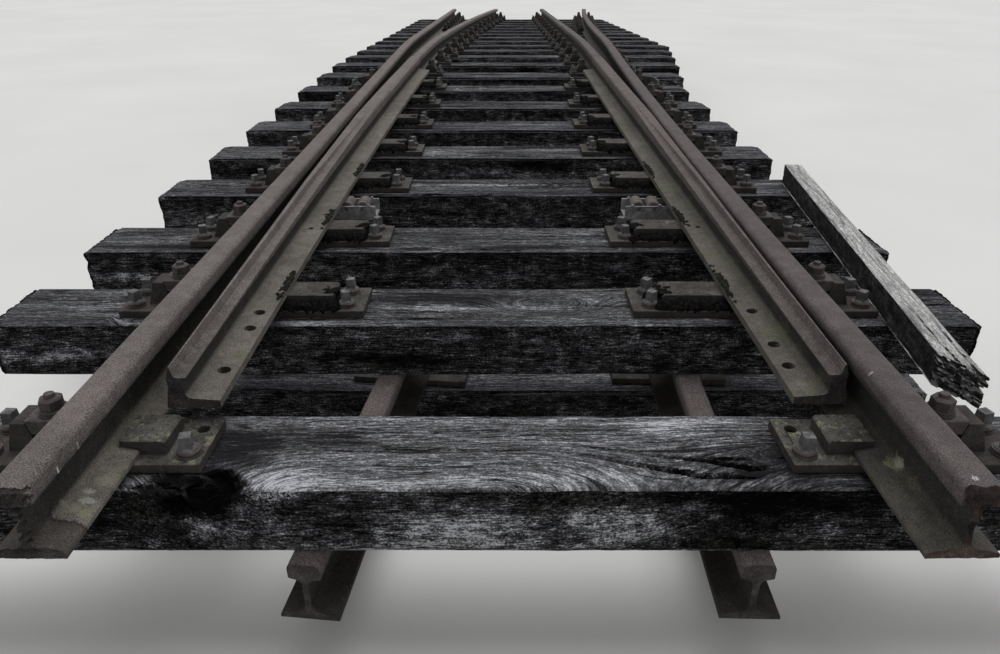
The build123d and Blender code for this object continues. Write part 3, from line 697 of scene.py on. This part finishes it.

# %% [markdown]
# ## Rusty rails
#
# A rail that no wheel has rolled on for years is evenly brown, with a fine grain like sandpaper.
# Its head is lightest, its web is painted dark as the shade under the head and gathers green, and
# dust and moss lie on its foot. Faces that look down get painted shade, and cut faces are painted
# dark, partly the cut's own oxide and partly painted shade.
# Those zones follow the height above the rail's underside, so the finish works that height out,
# first taking away how far the far end of the panel drops. A pair of heights gives the top of the
# foot and the underside of the head. Next to the left rail's cut the web and foot have lost their
# dusty crust, as far as a ragged crack. The marks are spots of lichen and paint, each with a place,
# a reach, a colour and a strength.


# %% Rail finish
def height_over(finish, base):
    """Height above a level of the panel, in metres, along the slope too."""
    turned = (finish.y - BEND_START).at_least(0).at_most(bend_run)
    beyond = (finish.y - (BEND_START + bend_run)).at_least(0)
    return finish.z - base + turned * turned * (0.5 / BEND_RADIUS) + beyond * (slope.y / slope.z)


def rail_finish(name, base, foot_top, head_low, sloping=True, marks=(), head_share=0.118, foot_share=0.1,
                moss_share=0.6, head_tint=(1.12, 0.98, 0.93), coarse=1.0, cut_tint=(1.14, 0.96, 0.96),
                crust_end=None):
    """Rust that follows the head, web and foot of a rail, with painted shade on web, undersides and cut faces."""
    rust = Finish(name, 0.82, 0.25)
    height = height_over(rust, base) if sloping else rust.z - base
    broad = rust.tone(5, 4, 0.6)
    cloud = rust.tone(26, 5, 0.68)
    grit = rust.tone(430, 3, 0.7) * coarse
    speck = rust.tone(330, 2, 0.6, None, (3, 1, 7)) * coarse
    mottle = broad * 0.25 + cloud * 0.35 + grit * 0.9
    head = rust.tones(mottle + speck * 0.8, head_share, 0.27, head_tint)
    # Painted shade: the web is set far darker than head and foot, as the shade under the head.
    web = rust.tones(mottle, 0.024, 0.5, (1.04, 1.0, 0.94))
    foot = rust.tones(mottle, foot_share, 0.36, (1.1, 1.0, 0.88))
    wander = cloud * 0.0012
    colour = rust.mix(rust.step(height + wander, foot_top, foot_top + 0.014), foot, web)
    colour = rust.mix(rust.step(height + wander, head_low - 0.008, head_low + 0.022), colour, head)
    green = rust.step(rust.tone(9, 5, 0.7, None, (4, 4, 4)) + grit * 0.2, 0.3, 1.8)
    low = rust.step(height, foot_top + 0.04, foot_top * 0.8)
    if crust_end is not None:
        reach = rust.y + cloud * 0.005 + grit * 0.001
        bare = rust.step(reach, crust_end + 0.003, crust_end - 0.003) * rust.step(height, head_low, head_low - 0.015)
        colour = rust.mix(bare * 0.8, colour, rust.tones(mottle, 0.036, 0.35, (1.13, 0.98, 0.93)))
        crack = rust.step(abs(reach - crust_end), 0.004, 0.001)
        colour = rust.mix(crack * low * 0.8, colour, (0.008, 0.007, 0.006))
        low = low * (1 - bare)
    colour = rust.mix(green * low * moss_share, colour, rust.tones(grit, 0.1, 0.3, (1.0, 1.05, 0.6)))
    colour = rust.mix(rust.step(speck + grit * 0.3, -1.1, -1.9) * 0.5, colour, (0.022, 0.017, 0.016))
    colour = rust.mix(rust.step(speck, 1.7, 2.3) * 0.4, colour, (0.26, 0.24, 0.21))
    # Painted shade on faces that look down.
    under = rust.step(rust.normal_z, 0.0, -0.4)
    colour = rust.mix(under * 0.5, colour, (0.02, 0.016, 0.015))
    # Cut faces painted dark: partly the cut's own oxide, partly painted shade.
    torn = rust.step(abs(rust.normal_y), 0.5, 0.8)
    colour = rust.mix(torn * 0.85, colour, rust.tones(cloud * 0.6 + grit * 0.7, 0.026, 0.65, cut_tint))
    for centre, reach, tint, strength in marks:
        mark = rust.spot(centre, reach, 0.45) * strength
        colour = rust.mix(mark * rust.step(grit + cloud, -1.9, 0.5), colour, tint)
    return rust.finish(colour, mottle + speck * 0.3, 0.00035)


CRUST_END = -6.49
RAIL_LEVEL = PLATE_TOP + SEAT_GAP
LOWER_RAIL_LEVEL = 140 * MM
RAIL_ZONES = (27 * MM, 108 * MM)
TONGUE_ZONES = (58 * MM, 98 * MM)
LICHEN = (0.22, 0.21, 0.17)
YELLOW = (0.22, 0.22, 0.12)
CHALK = (0.3, 0.3, 0.26)
WHITE = (0.6, 0.6, 0.58)
left_marks = [
    ((-0.928, -6.372, 0.484), (0.021, 0.024, 0.03), LICHEN, 0.75),
    ((-0.945, -6.405, 0.485), (0.012, 0.008, 0.03), CHALK, 0.9),
    ((-0.935, -6.43, 0.482), (0.016, 0.009, 0.03), CHALK, 0.8),
    ((-0.955, -6.455, 0.484), (0.02, 0.014, 0.03), LICHEN, 0.9),
    ((-0.925, -6.46, 0.484), (0.013, 0.01, 0.03), YELLOW, 0.8),
    ((-0.94, -6.4715, 0.583), (0.01, 0.003, 0.013), WHITE, 0.9),
    ((-0.94, -6.4027, 0.586), (0.01, 0.0028, 0.011), WHITE, 0.9),
]
right_marks = [
    ((0.573, -6.332, 0.486), (0.022, 0.026, 0.03), YELLOW, 0.7),
    ((0.575, -6.338, 0.486), (0.010, 0.014, 0.03), CHALK, 0.7),
    ((0.59, -6.4, 0.486), (0.03, 0.03, 0.03), YELLOW, 0.25),
    ((0.573, -6.532, 0.618), (0.006, 0.006, 0.01), WHITE, 0.8),
    ((0.546, -6.199, 0.618), (0.012, 0.004, 0.01), WHITE, 0.5),
]
stock_finishes = {
    "left": rail_finish("left_rail_rust", RAIL_LEVEL, *RAIL_ZONES, marks=left_marks, foot_share=0.12,
                        crust_end=CRUST_END),
    "right": rail_finish("right_rail_rust", RAIL_LEVEL, *RAIL_ZONES, marks=right_marks, head_share=0.074,
                         foot_share=0.048, moss_share=0.25, head_tint=(1.14, 0.975, 0.955), coarse=0.8,
                         cut_tint=(1.5, 0.95, 0.85)),
}
tongue_finishes = {
    "left": rail_finish("left_tongue_rust", RAIL_LEVEL, *TONGUE_ZONES, foot_share=0.115),
    "right": rail_finish("right_tongue_rust", RAIL_LEVEL, *TONGUE_ZONES, head_share=0.09, foot_share=0.088,
                         moss_share=0.8, head_tint=(1.16, 0.97, 0.93)),
}
bearer_rust = rail_finish("lower_rail_rust", LOWER_RAIL_LEVEL, *RAIL_ZONES, sloping=False, head_share=0.088,
                          foot_share=0.032, moss_share=0.15, head_tint=(1.16, 0.97, 0.95))


def refinish(node, finish):
    """Gives a frame node another material."""
    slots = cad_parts[node].material_slots
    for slot in slots:
        slot.link = "OBJECT"
        slot.material = finish
    if not slots:
        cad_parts[node].data.materials.append(finish)


for side in SIDES:
    refinish(f"closure_rail_{side}", stock_finishes[side])
    refinish(f"switch_tongue_{side}", tongue_finishes[side])
    refinish(f"bearer_rail_{side}", bearer_rust)

# %% [markdown]
# ## Cut rail ends
#
# The panel was cut out of its track with a torch. The left rail's end came off in layers, and the
# right one's is coarse like broken stone. A copy of each rail is merged, its last few centimetres
# are cut into small cells, and the cells are pushed back from the end: in steps for the left, by
# plain noise for the right, whose rim stays nearly whole.

# %% Cut ends
CUT_REACH = 45 * MM
CUT_DEPTH = 20 * MM
FOOT_HEIGHT = 28 * MM
LAYER = 8 * MM
LAYER_PUSHES = (0.0, 0.95, 0.1, 0.35, 1.0, 0.2, 0.8)
CELL = 4.5 * MM


def torn_end(side, layered):
    """A rail with a rough cut end in place of the sawn one."""
    node = f"stock_rail_{side}"
    shape = merged(node)
    end = box_of(node)[0].y

    def cut(at, normal, geometry):
        bmesh.ops.bisect_plane(shape, geom=geometry, plane_co=at, plane_no=normal, dist=TINY)

    cut((0, end + CUT_REACH, 0), (0, 1, 0), shape.verts[:] + shape.edges[:] + shape.faces[:])

    def near_end():
        faces = [f for f in shape.faces if max(v.co.y for v in f.verts) < end + CUT_REACH + TINY]
        verts = dict.fromkeys(v for f in faces for v in f.verts)
        edges = dict.fromkeys(e for f in faces for e in f.edges)
        return [*verts, *edges, *faces]

    near = [v.co for v in shape.verts if v.co.y < end + CUT_REACH + TINY]
    for axis in (0, 2, 1):
        start = min(p[axis] for p in near)
        stop = max(p[axis] for p in near)
        for count in range(1, round((stop - start) / CELL)):
            at = Vector((0, 0, 0))
            at[axis] = start + count * CELL
            normal = Vector((0, 0, 0))
            normal[axis] = 1
            cut(at, normal, near_end())
    rims = {vert: any(abs(face.normal.y) < 0.5 for face in vert.link_faces) for vert in shape.verts}
    for vert in shape.verts:
        x, y, z = vert.co
        fade = max(0, 1 - (y - end) / CUT_REACH)
        if fade == 0:
            continue
        rough = noise.noise((x * 60, z * 60, 5)) * 0.6 + noise.noise((x * 190, z * 190, 2)) * 0.5
        if layered:
            layer = int((z + 0.005 * noise.noise((x * 25, z * 25, 9))) / LAYER)
            push = LAYER_PUSHES[layer % len(LAYER_PUSHES)] + 0.35 * rough
        else:
            push = 0.45 + 0.4 * rough + 0.8 * noise.noise((x * 40, z * 40, 4))
        if rims[vert]:
            push *= 0.8 if layered else 0.45
        if z < RAIL_LEVEL + FOOT_HEIGHT:
            push *= 0.4
        vert.co.y += CUT_DEPTH * min(1, max(0, push)) * fade ** 2
    made = piece(f"torn_{node}", shape, stock_finishes[side], smooth_below=30)
    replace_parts(made, node)
    return made


for side, layered in (("left", True), ("right", False)):
    print(side, "rail", len(torn_end(side, layered).data.polygons), "faces")

# %% [markdown]
# ## Plates and clamps
#
# Baseplates and slide bars are rolled steel with rounded edges, greened by dust and lichen. The
# clamps are forgings with darker, purplish rust. The frame's own solids stay and are only welded
# and bevelled by modifiers, because their shape is already right.

# %% Plate and clamp finishes
TRACK_MIDDLE = -0.2225


def plate_finish(name, lichen):
    """Dusty, greened steel, with painted shade on its upright faces."""
    steel = Finish(name, 0.88)
    cloud = steel.tone(22, 5, 0.68)
    broad = steel.tone(5, 3, 0.6)
    grit = steel.tone(400, 3, 0.7)
    colour = steel.tones(cloud * 0.5 + broad * 0.3 + grit * 0.5, 0.054, 0.38, (1.05, 1.0, 0.9))
    patch = steel.step(steel.tone(26, 6, 0.75, None, (7, 2, 5)) + grit * 0.3, 1.6 - lichen * 1.2, 2.4 - lichen)
    lichens = steel.tones(grit * 0.6 + cloud * 0.4, 0.15, 0.3, (1.05, 1.05, 0.68))
    colour = steel.mix(patch * steel.step(steel.normal_z, 0.3, 0.8) * 0.8, colour, lichens)
    dark = steel.step(steel.tone(90, 4, 0.6, None, (1, 5, 2)) + grit * 0.2, -0.6, -1.6)
    colour = steel.mix(dark * 0.7, colour, (0.014, 0.013, 0.012))
    # Painted shade: upright faces darker.
    upright = steel.step(abs(steel.normal_z), 0.6, 0.3)
    colour = steel.mix(upright * 0.5, colour, (0.022, 0.019, 0.018))
    outside = steel.step(abs(steel.x - TRACK_MIDDLE), 0.79, 0.82)
    brown = steel.tones(cloud * 0.6 + grit * 0.6, 0.034, 0.36, (1.12, 0.97, 0.93))
    colour = steel.mix(outside * 0.85, colour, brown)
    return steel.finish(colour, grit * 0.4 + cloud, 0.0004)


def forging_finish(name, middle, tint, dusty=0.4):
    """Rust or dull metal on a small piece."""
    steel = Finish(name, 0.78, 0.3)
    cloud = steel.tone(45, 5, 0.68)
    grit = steel.tone(520, 3, 0.7)
    colour = steel.tones(cloud * 0.7 + grit * 0.6, middle, 0.34, tint)
    dust = steel.step(steel.normal_z, 0.75, 0.97) * steel.step(steel.tone(60, 4, 0.6) + grit * 0.3, -0.8, 1.5)
    colour = steel.mix(dust * dusty, colour, tuple(part * 2.8 * middle for part in tint))
    return steel.finish(colour, grit * 0.4 + cloud * 0.7, 0.0004)


RUST = (1.14, 0.96, 0.93)
ZINC = (0.99, 0.99, 1.02)
plate_dirt_and_shade = plate_finish("plate_dirt_and_shade", 0.2)
toe_plate_dirt_and_shade = plate_finish("toe_plate_dirt_and_shade", 1.0)
forging = forging_finish("forging_rust", 0.042, RUST)
coil_rust = forging_finish("coil_rust", 0.05, (1.25, 0.95, 0.85), 0.2)
roller_rust = forging_finish("roller_rust", 0.07, (1.16, 0.98, 0.88), 0.2)
dull_zinc = forging_finish("dull_zinc", 0.17, ZINC, 0.3)
screw_grey = forging_finish("screw_grey", 0.076, (1.0, 0.98, 1.0), 0.6)


def soften(node, width):
    """Rounds a frame node's edges by modifiers."""
    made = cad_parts[node]
    weld = made.modifiers.new("weld", "WELD")
    weld.merge_threshold = TINY
    bevel = made.modifiers.new("bevel", "BEVEL")
    bevel.width = width
    bevel.segments = 2
    bevel.limit_method = "ANGLE"
    bevel.angle_limit = radians(30)


ROLLED, FORGED = 1.5 * MM, 3 * MM
LOOKS = {"toe_plate": (toe_plate_dirt_and_shade, ROLLED), "slide_plates": (plate_dirt_and_shade, ROLLED),
         "rail_plates": (plate_dirt_and_shade, ROLLED), "stock_clamps": (forging, FORGED),
         "closure_clamps": (forging, FORGED), "roller_frame": (dull_zinc, ROLLED)}
for side in SIDES:
    for kind, (finish, rounding) in LOOKS.items():
        refinish(f"{kind}_{side}", finish)
        soften(f"{kind}_{side}", rounding)
    for place in ("outer", "inner"):
        refinish(f"roller_{side}_{place}", roller_rust)
refinish("bearer_plates", plate_dirt_and_shade)
soften("bearer_plates", ROLLED)

# %% [markdown]
# ## Coach screws and clamp nuts
#
# A coach screw holds a plate to its sleeper. Over the plate it shows a double spring washer, a
# round collar that domes up, and a square head that narrows a little. A clamp is drawn down by a
# bolt with a hexagonal nut on two washers. Each is built once, from cones and discs, and copied to
# all its places, so it has few faces. The square head of a screw stays paler than the rust.


# %% Fastener shapes
def stack(shape, level, height, radius, top_radius, segments, turn=0.0, shift=(0, 0)):
    """A short cone standing at a level, and the level of its top."""
    made = bmesh.ops.create_cone(shape, cap_ends=True, segments=segments, radius1=radius,
                                 radius2=top_radius, depth=height)
    bmesh.ops.rotate(shape, verts=made["verts"], matrix=Matrix.Rotation(turn, 3, "Z"))
    bmesh.ops.translate(shape, verts=made["verts"], vec=(*shift, level + height / 2))
    return level + height


def coil_washer(segments):
    shape = bmesh.new()
    level = stack(shape, 0, 4.5 * MM, 25 * MM, 25 * MM, segments)
    stack(shape, level + 2.5 * MM, 4.5 * MM, 24 * MM, 24 * MM, segments, shift=(1.5 * MM, 1 * MM))
    return shape


COIL_TOP = 11.5 * MM


def coach_screw(segments):
    shape = bmesh.new()
    stack(shape, 0, COIL_TOP, 17 * MM, 17 * MM, segments)
    level = stack(shape, COIL_TOP, 3 * MM, 21 * MM, 20 * MM, segments)
    level = stack(shape, level, 5 * MM, 20 * MM, 14.5 * MM, segments)
    stack(shape, level - 2 * MM, 28 * MM, 18 * MM, 16 * MM, 4, pi / 4)
    return shape


def clamp_nut(segments):
    shape = bmesh.new()
    level = stack(shape, 0, 6 * MM, 29 * MM, 28 * MM, segments)
    level = stack(shape, level, 5 * MM, 27 * MM, 27 * MM, segments, shift=(0.7 * MM, 0))
    level = stack(shape, level, 21 * MM, 23.7 * MM, 23.7 * MM, 6, 0.3)
    level = stack(shape, level, 4 * MM, 23.7 * MM, 19 * MM, 6, 0.3)
    stack(shape, level, 8 * MM, 12 * MM, 10 * MM, 8)
    return shape


def small_bolt(segments):
    shape = bmesh.new()
    level = stack(shape, 0, 1.5 * MM, 7.5 * MM, 7.5 * MM, segments)
    stack(shape, level, 5 * MM, 6 * MM, 5.5 * MM, 6)
    return shape


def copies(name, shape, places, finish):
    """One piece with a copy of a shape at each place."""
    pattern = bpy.data.meshes.new("pattern")
    shape.to_mesh(pattern)
    shape.free()
    together = bmesh.new()
    for place in places:
        before = len(together.verts)
        together.from_mesh(pattern)
        together.verts.ensure_lookup_table()
        bmesh.ops.transform(together, matrix=place, verts=together.verts[before:])
    bpy.data.meshes.remove(pattern)
    return piece(name, together, finish, smooth_below=50)


# %% [markdown]
# ## Where the fasteners sit
#
# Each plate has two screws at its outer end and two at its inner one, and only a toe plate lacks
# one of them. Each clamp has its bolt in the middle of its crown. So the places are read from the
# frame's own solids: a plate's ends, or the middle of a clamp's upward faces.


# %% Places of the fasteners
def nearest_seat(y):
    return min(seats.values(), key=lambda seat: abs(seat.translation.y - y))


def outer_inner(low, high, outward):
    """The X of a box's outer end and of its inner one."""
    return (high.x, low.x) if outward > 0 else (low.x, high.x)


def on_plate(x, y_offset, seat, turn):
    """Place on a plate, from its X and its distance from the sleeper's middle line."""
    local = Vector((x - seat.translation.x, y_offset, PLATE_THICKNESS))
    return Matrix.Translation(seat @ local) @ seat.to_3x3().to_4x4() @ Matrix.Rotation(turn, 4, "Z")


SLIDE_OUT_INSET = 37.5 * MM
SLIDE_IN_INSET = 53 * MM
RAIL_PLATE_INSET = 25 * MM
TOE_IN_INSET = 33 * MM
SCREW_SPREAD = 43 * MM
RAIL_SCREW_SPREAD = 50 * MM
chance = Random(8)
screws = {"near": [], "far": []}
NEAR_LIMIT = -4.6
for side, outward in SIDES.items():
    for kind, out_inset, in_inset, spread in (
            ("toe_plate", SLIDE_OUT_INSET, TOE_IN_INSET, SCREW_SPREAD),
            ("slide_plates", SLIDE_OUT_INSET, SLIDE_IN_INSET, SCREW_SPREAD),
            ("rail_plates", RAIL_PLATE_INSET, RAIL_PLATE_INSET, RAIL_SCREW_SPREAD)):
        shape, solids = solids_of(f"{kind}_{side}")
        for low, high in (corners(solid) for solid in solids):
            seat = nearest_seat((low.y + high.y) / 2)
            out_x, in_x = outer_inner(low, high, outward)
            for x, inner in ((out_x - outward * out_inset, False), (in_x + outward * in_inset, True)):
                for end in (-1, 1):
                    if kind == "toe_plate" and inner and end == 1:
                        continue
                    place = on_plate(x, end * spread, seat, chance.uniform(0, pi / 2))
                    screws["near" if place.translation.y < NEAR_LIMIT else "far"].append(place)
        shape.free()

nuts = {"near": [], "far": []}
for side in SIDES:
    for kind in ("stock_clamps", "closure_clamps"):
        shape, solids = solids_of(f"{kind}_{side}")
        for solid in solids:
            crown = [face for face in solid if face.normal.z > 0.99]
            area = sum(face.calc_area() for face in crown)
            middle = sum((face.calc_center_median() * face.calc_area() for face in crown), Vector()) / area
            place = (Matrix.Translation(middle) @ nearest_seat(middle.y).to_3x3().to_4x4()
                     @ Matrix.Rotation(chance.uniform(0, pi / 3), 4, "Z"))
            nuts["near" if middle.y < NEAR_LIMIT else "far"].append(place)
        shape.free()

for reach, segments in (("near", 20), ("far", 10)):
    copies(f"coach_screws_{reach}", coach_screw(segments), screws[reach], screw_grey)
    copies(f"coil_washers_{reach}", coil_washer(segments), screws[reach], coil_rust)
    copies(f"clamp_nuts_{reach}", clamp_nut(segments), nuts[reach], forging)
print({reach: len(places) for reach, places in screws.items()}, "screws")
print({reach: len(places) for reach, places in nuts.items()}, "nuts")

# %% [markdown]
# ## Bolts of the roller devices
#
# Small bolts with washers hold the two side plates of each roller frame. They stand in pairs on the
# plates' upper edges.

# %% Small bolts
bolts = []
BOLT_SHARES = (0.34, 0.66, 0.93)
EDGE_INSET = 4.5 * MM
for side, outward in SIDES.items():
    low, high = box_of(f"roller_frame_{side}")
    out_x, in_x = outer_inner(low, high, outward)
    for share in BOLT_SHARES:
        for y in (low.y + EDGE_INSET, high.y - EDGE_INSET):
            bolts.append(Matrix.Translation((out_x + (in_x - out_x) * share, y, high.z)))
copies("roller_bolts", small_bolt(10), bolts, dull_zinc)

# %% [markdown]
# ## Dirt
#
# Wind and rain leave earth and old ballast dust against the slide bars. A heap is made of many small
# roughened lumps, half sunk in the plate they lie on, and all of them stay lower than the tongue
# that slides over the bar. The lumps are copies of one ball's corners, pushed in and out by noise.


# %% Heaps of dirt
def dirt_finish(name, middle, spread, tint):
    dirt = Finish(name, 0.97, 0.02)
    lumps = dirt.tone(90, 6, 0.78)
    fine = dirt.tone(420, 4, 0.7)
    colour = dirt.tones(lumps * 0.6 + fine * 0.7, middle, spread, tint)
    return dirt.finish(colour, lumps * 0.12 + fine * 0.06, 0.006)


# Nearly black: partly the dirt's own colour, partly painted shade in front of the bars.
dirt = dirt_finish("dirt_darkened_as_shade", 0.0085, 0.85, (1.0, 1.0, 1.04))
moss = dirt_finish("grey_moss", 0.02, 0.8, (1.0, 1.01, 0.86))


ball = bmesh.new()
bmesh.ops.create_icosphere(ball, subdivisions=2, radius=1)
BALL_POINTS = [vert.co.copy() for vert in ball.verts]
BALL_FACES = [[vert.index for vert in face.verts] for face in ball.faces]
ball.free()


def clod(shape, centre, reach, seed):
    """A small lump of dirt."""
    made = []
    for way in BALL_POINTS:
        rough = 0.85 + 0.35 * noise.noise(way * 1.7 + Vector((seed, 0, 0))) + 0.2 * noise.noise(way * 5)
        made.append(shape.verts.new(Vector(way[i] * reach[i] * rough for i in range(3)) + centre))
    for face in BALL_FACES:
        shape.faces.new([made[i] for i in face])


def heap(shape, x_range, y_range, level, height, count, chance):
    """A mound of lumps, highest in its middle."""
    for _ in range(count):
        across, along = chance.random(), chance.random()
        low = 1 - 0.7 * (2 * along - 1) ** 2
        size = chance.uniform(0.5, 1) * low
        centre = (x_range[0] + (x_range[1] - x_range[0]) * across, y_range[0] + (y_range[1] - y_range[0]) * along,
                  level)
        clod(shape, Vector(centre), (24 * MM * size, 17 * MM * size, height * size), chance.random() * 50)


together = bmesh.new()
BAR_HALF = 47.5 * MM
BAR_HEIGHT = 33 * MM
BAR_INSET = 85 * MM
RIB_HEIGHT = 66 * MM
HEAP_HEIGHT = 33 * MM
chance = Random(5)
for side, outward in SIDES.items():
    shape, solids = solids_of(f"slide_plates_{side}")
    for low, high in sorted((corners(solid) for solid in solids), key=lambda box: box[0].y):
        _, in_x = outer_inner(low, high, outward)
        level = high.z - RIB_HEIGHT
        y = (low.y + high.y) / 2
        bar_end = in_x + outward * BAR_INSET
        # In front of the bar, round its inner end, and a thin layer on its top
        heap(together, sorted((bar_end - outward * 6 * MM, bar_end + outward * 190 * MM)),
             (y - BAR_HALF - 30 * MM, y - BAR_HALF + 2 * MM), level, HEAP_HEIGHT, 80, chance)
        heap(together, sorted((bar_end - outward * 26 * MM, bar_end + outward * 4 * MM)),
             (y - BAR_HALF - 12 * MM, y + BAR_HALF), level, HEAP_HEIGHT, 40, chance)
        heap(together, sorted((bar_end, bar_end + outward * 28 * MM)), (y - BAR_HALF, y + BAR_HALF * 0.6),
             level + BAR_HEIGHT - 3 * MM, 8 * MM, 14, chance)
    shape.free()
piece("dirt_heaps", together, dirt, smooth_below=80)

# %% [markdown]
# ## Moss on the tongues
#
# Dark moss grows in clumps on the inner edge of each tongue's foot, near the slide bars. A ray from
# the middle of the track finds the edge, a second one from above finds the foot's top, and a small
# lump is set there. The clumps ride on the tongues.

# %% Moss
MOSS_ROWS = (-5.55, -4.97, -4.36)
CLODS_A_ROW = 110
ROW_SPREAD = 45 * MM
EDGE_SPREAD = 6 * MM
MOSS_LEVEL = PLATE_TOP + 56 * MM
for side, outward in SIDES.items():
    shape = merged(f"switch_tongue_{side}")
    tree = BVHTree.FromBMesh(shape)
    together = bmesh.new()
    for row in MOSS_ROWS:
        for _ in range(CLODS_A_ROW):
            y = row + chance.gauss(0, ROW_SPREAD)
            start = Vector((TRACK_MIDDLE, y, MOSS_LEVEL - 10 * MM))
            edge, _, _, _ = tree.ray_cast(start, Vector((outward, 0, 0)))
            if edge is None:
                continue
            x = edge.x + outward * (2 * MM + abs(chance.gauss(0, EDGE_SPREAD)))
            top, _, _, _ = tree.ray_cast(Vector((x, y, 1)), Vector((0, 0, -1)))
            if top is None or top.z > MOSS_LEVEL + 12 * MM:
                continue
            size = chance.uniform(0.5, 1)
            clod(together, Vector((x, y, top.z)), (7 * MM * size, 9 * MM * size, 6 * MM * size), chance.random() * 50)
    shape.free()
    print(side, "moss", len(together.faces), "faces")
    piece(f"moss_{side}", together, moss, f"tongue_{side}", smooth_below=80)
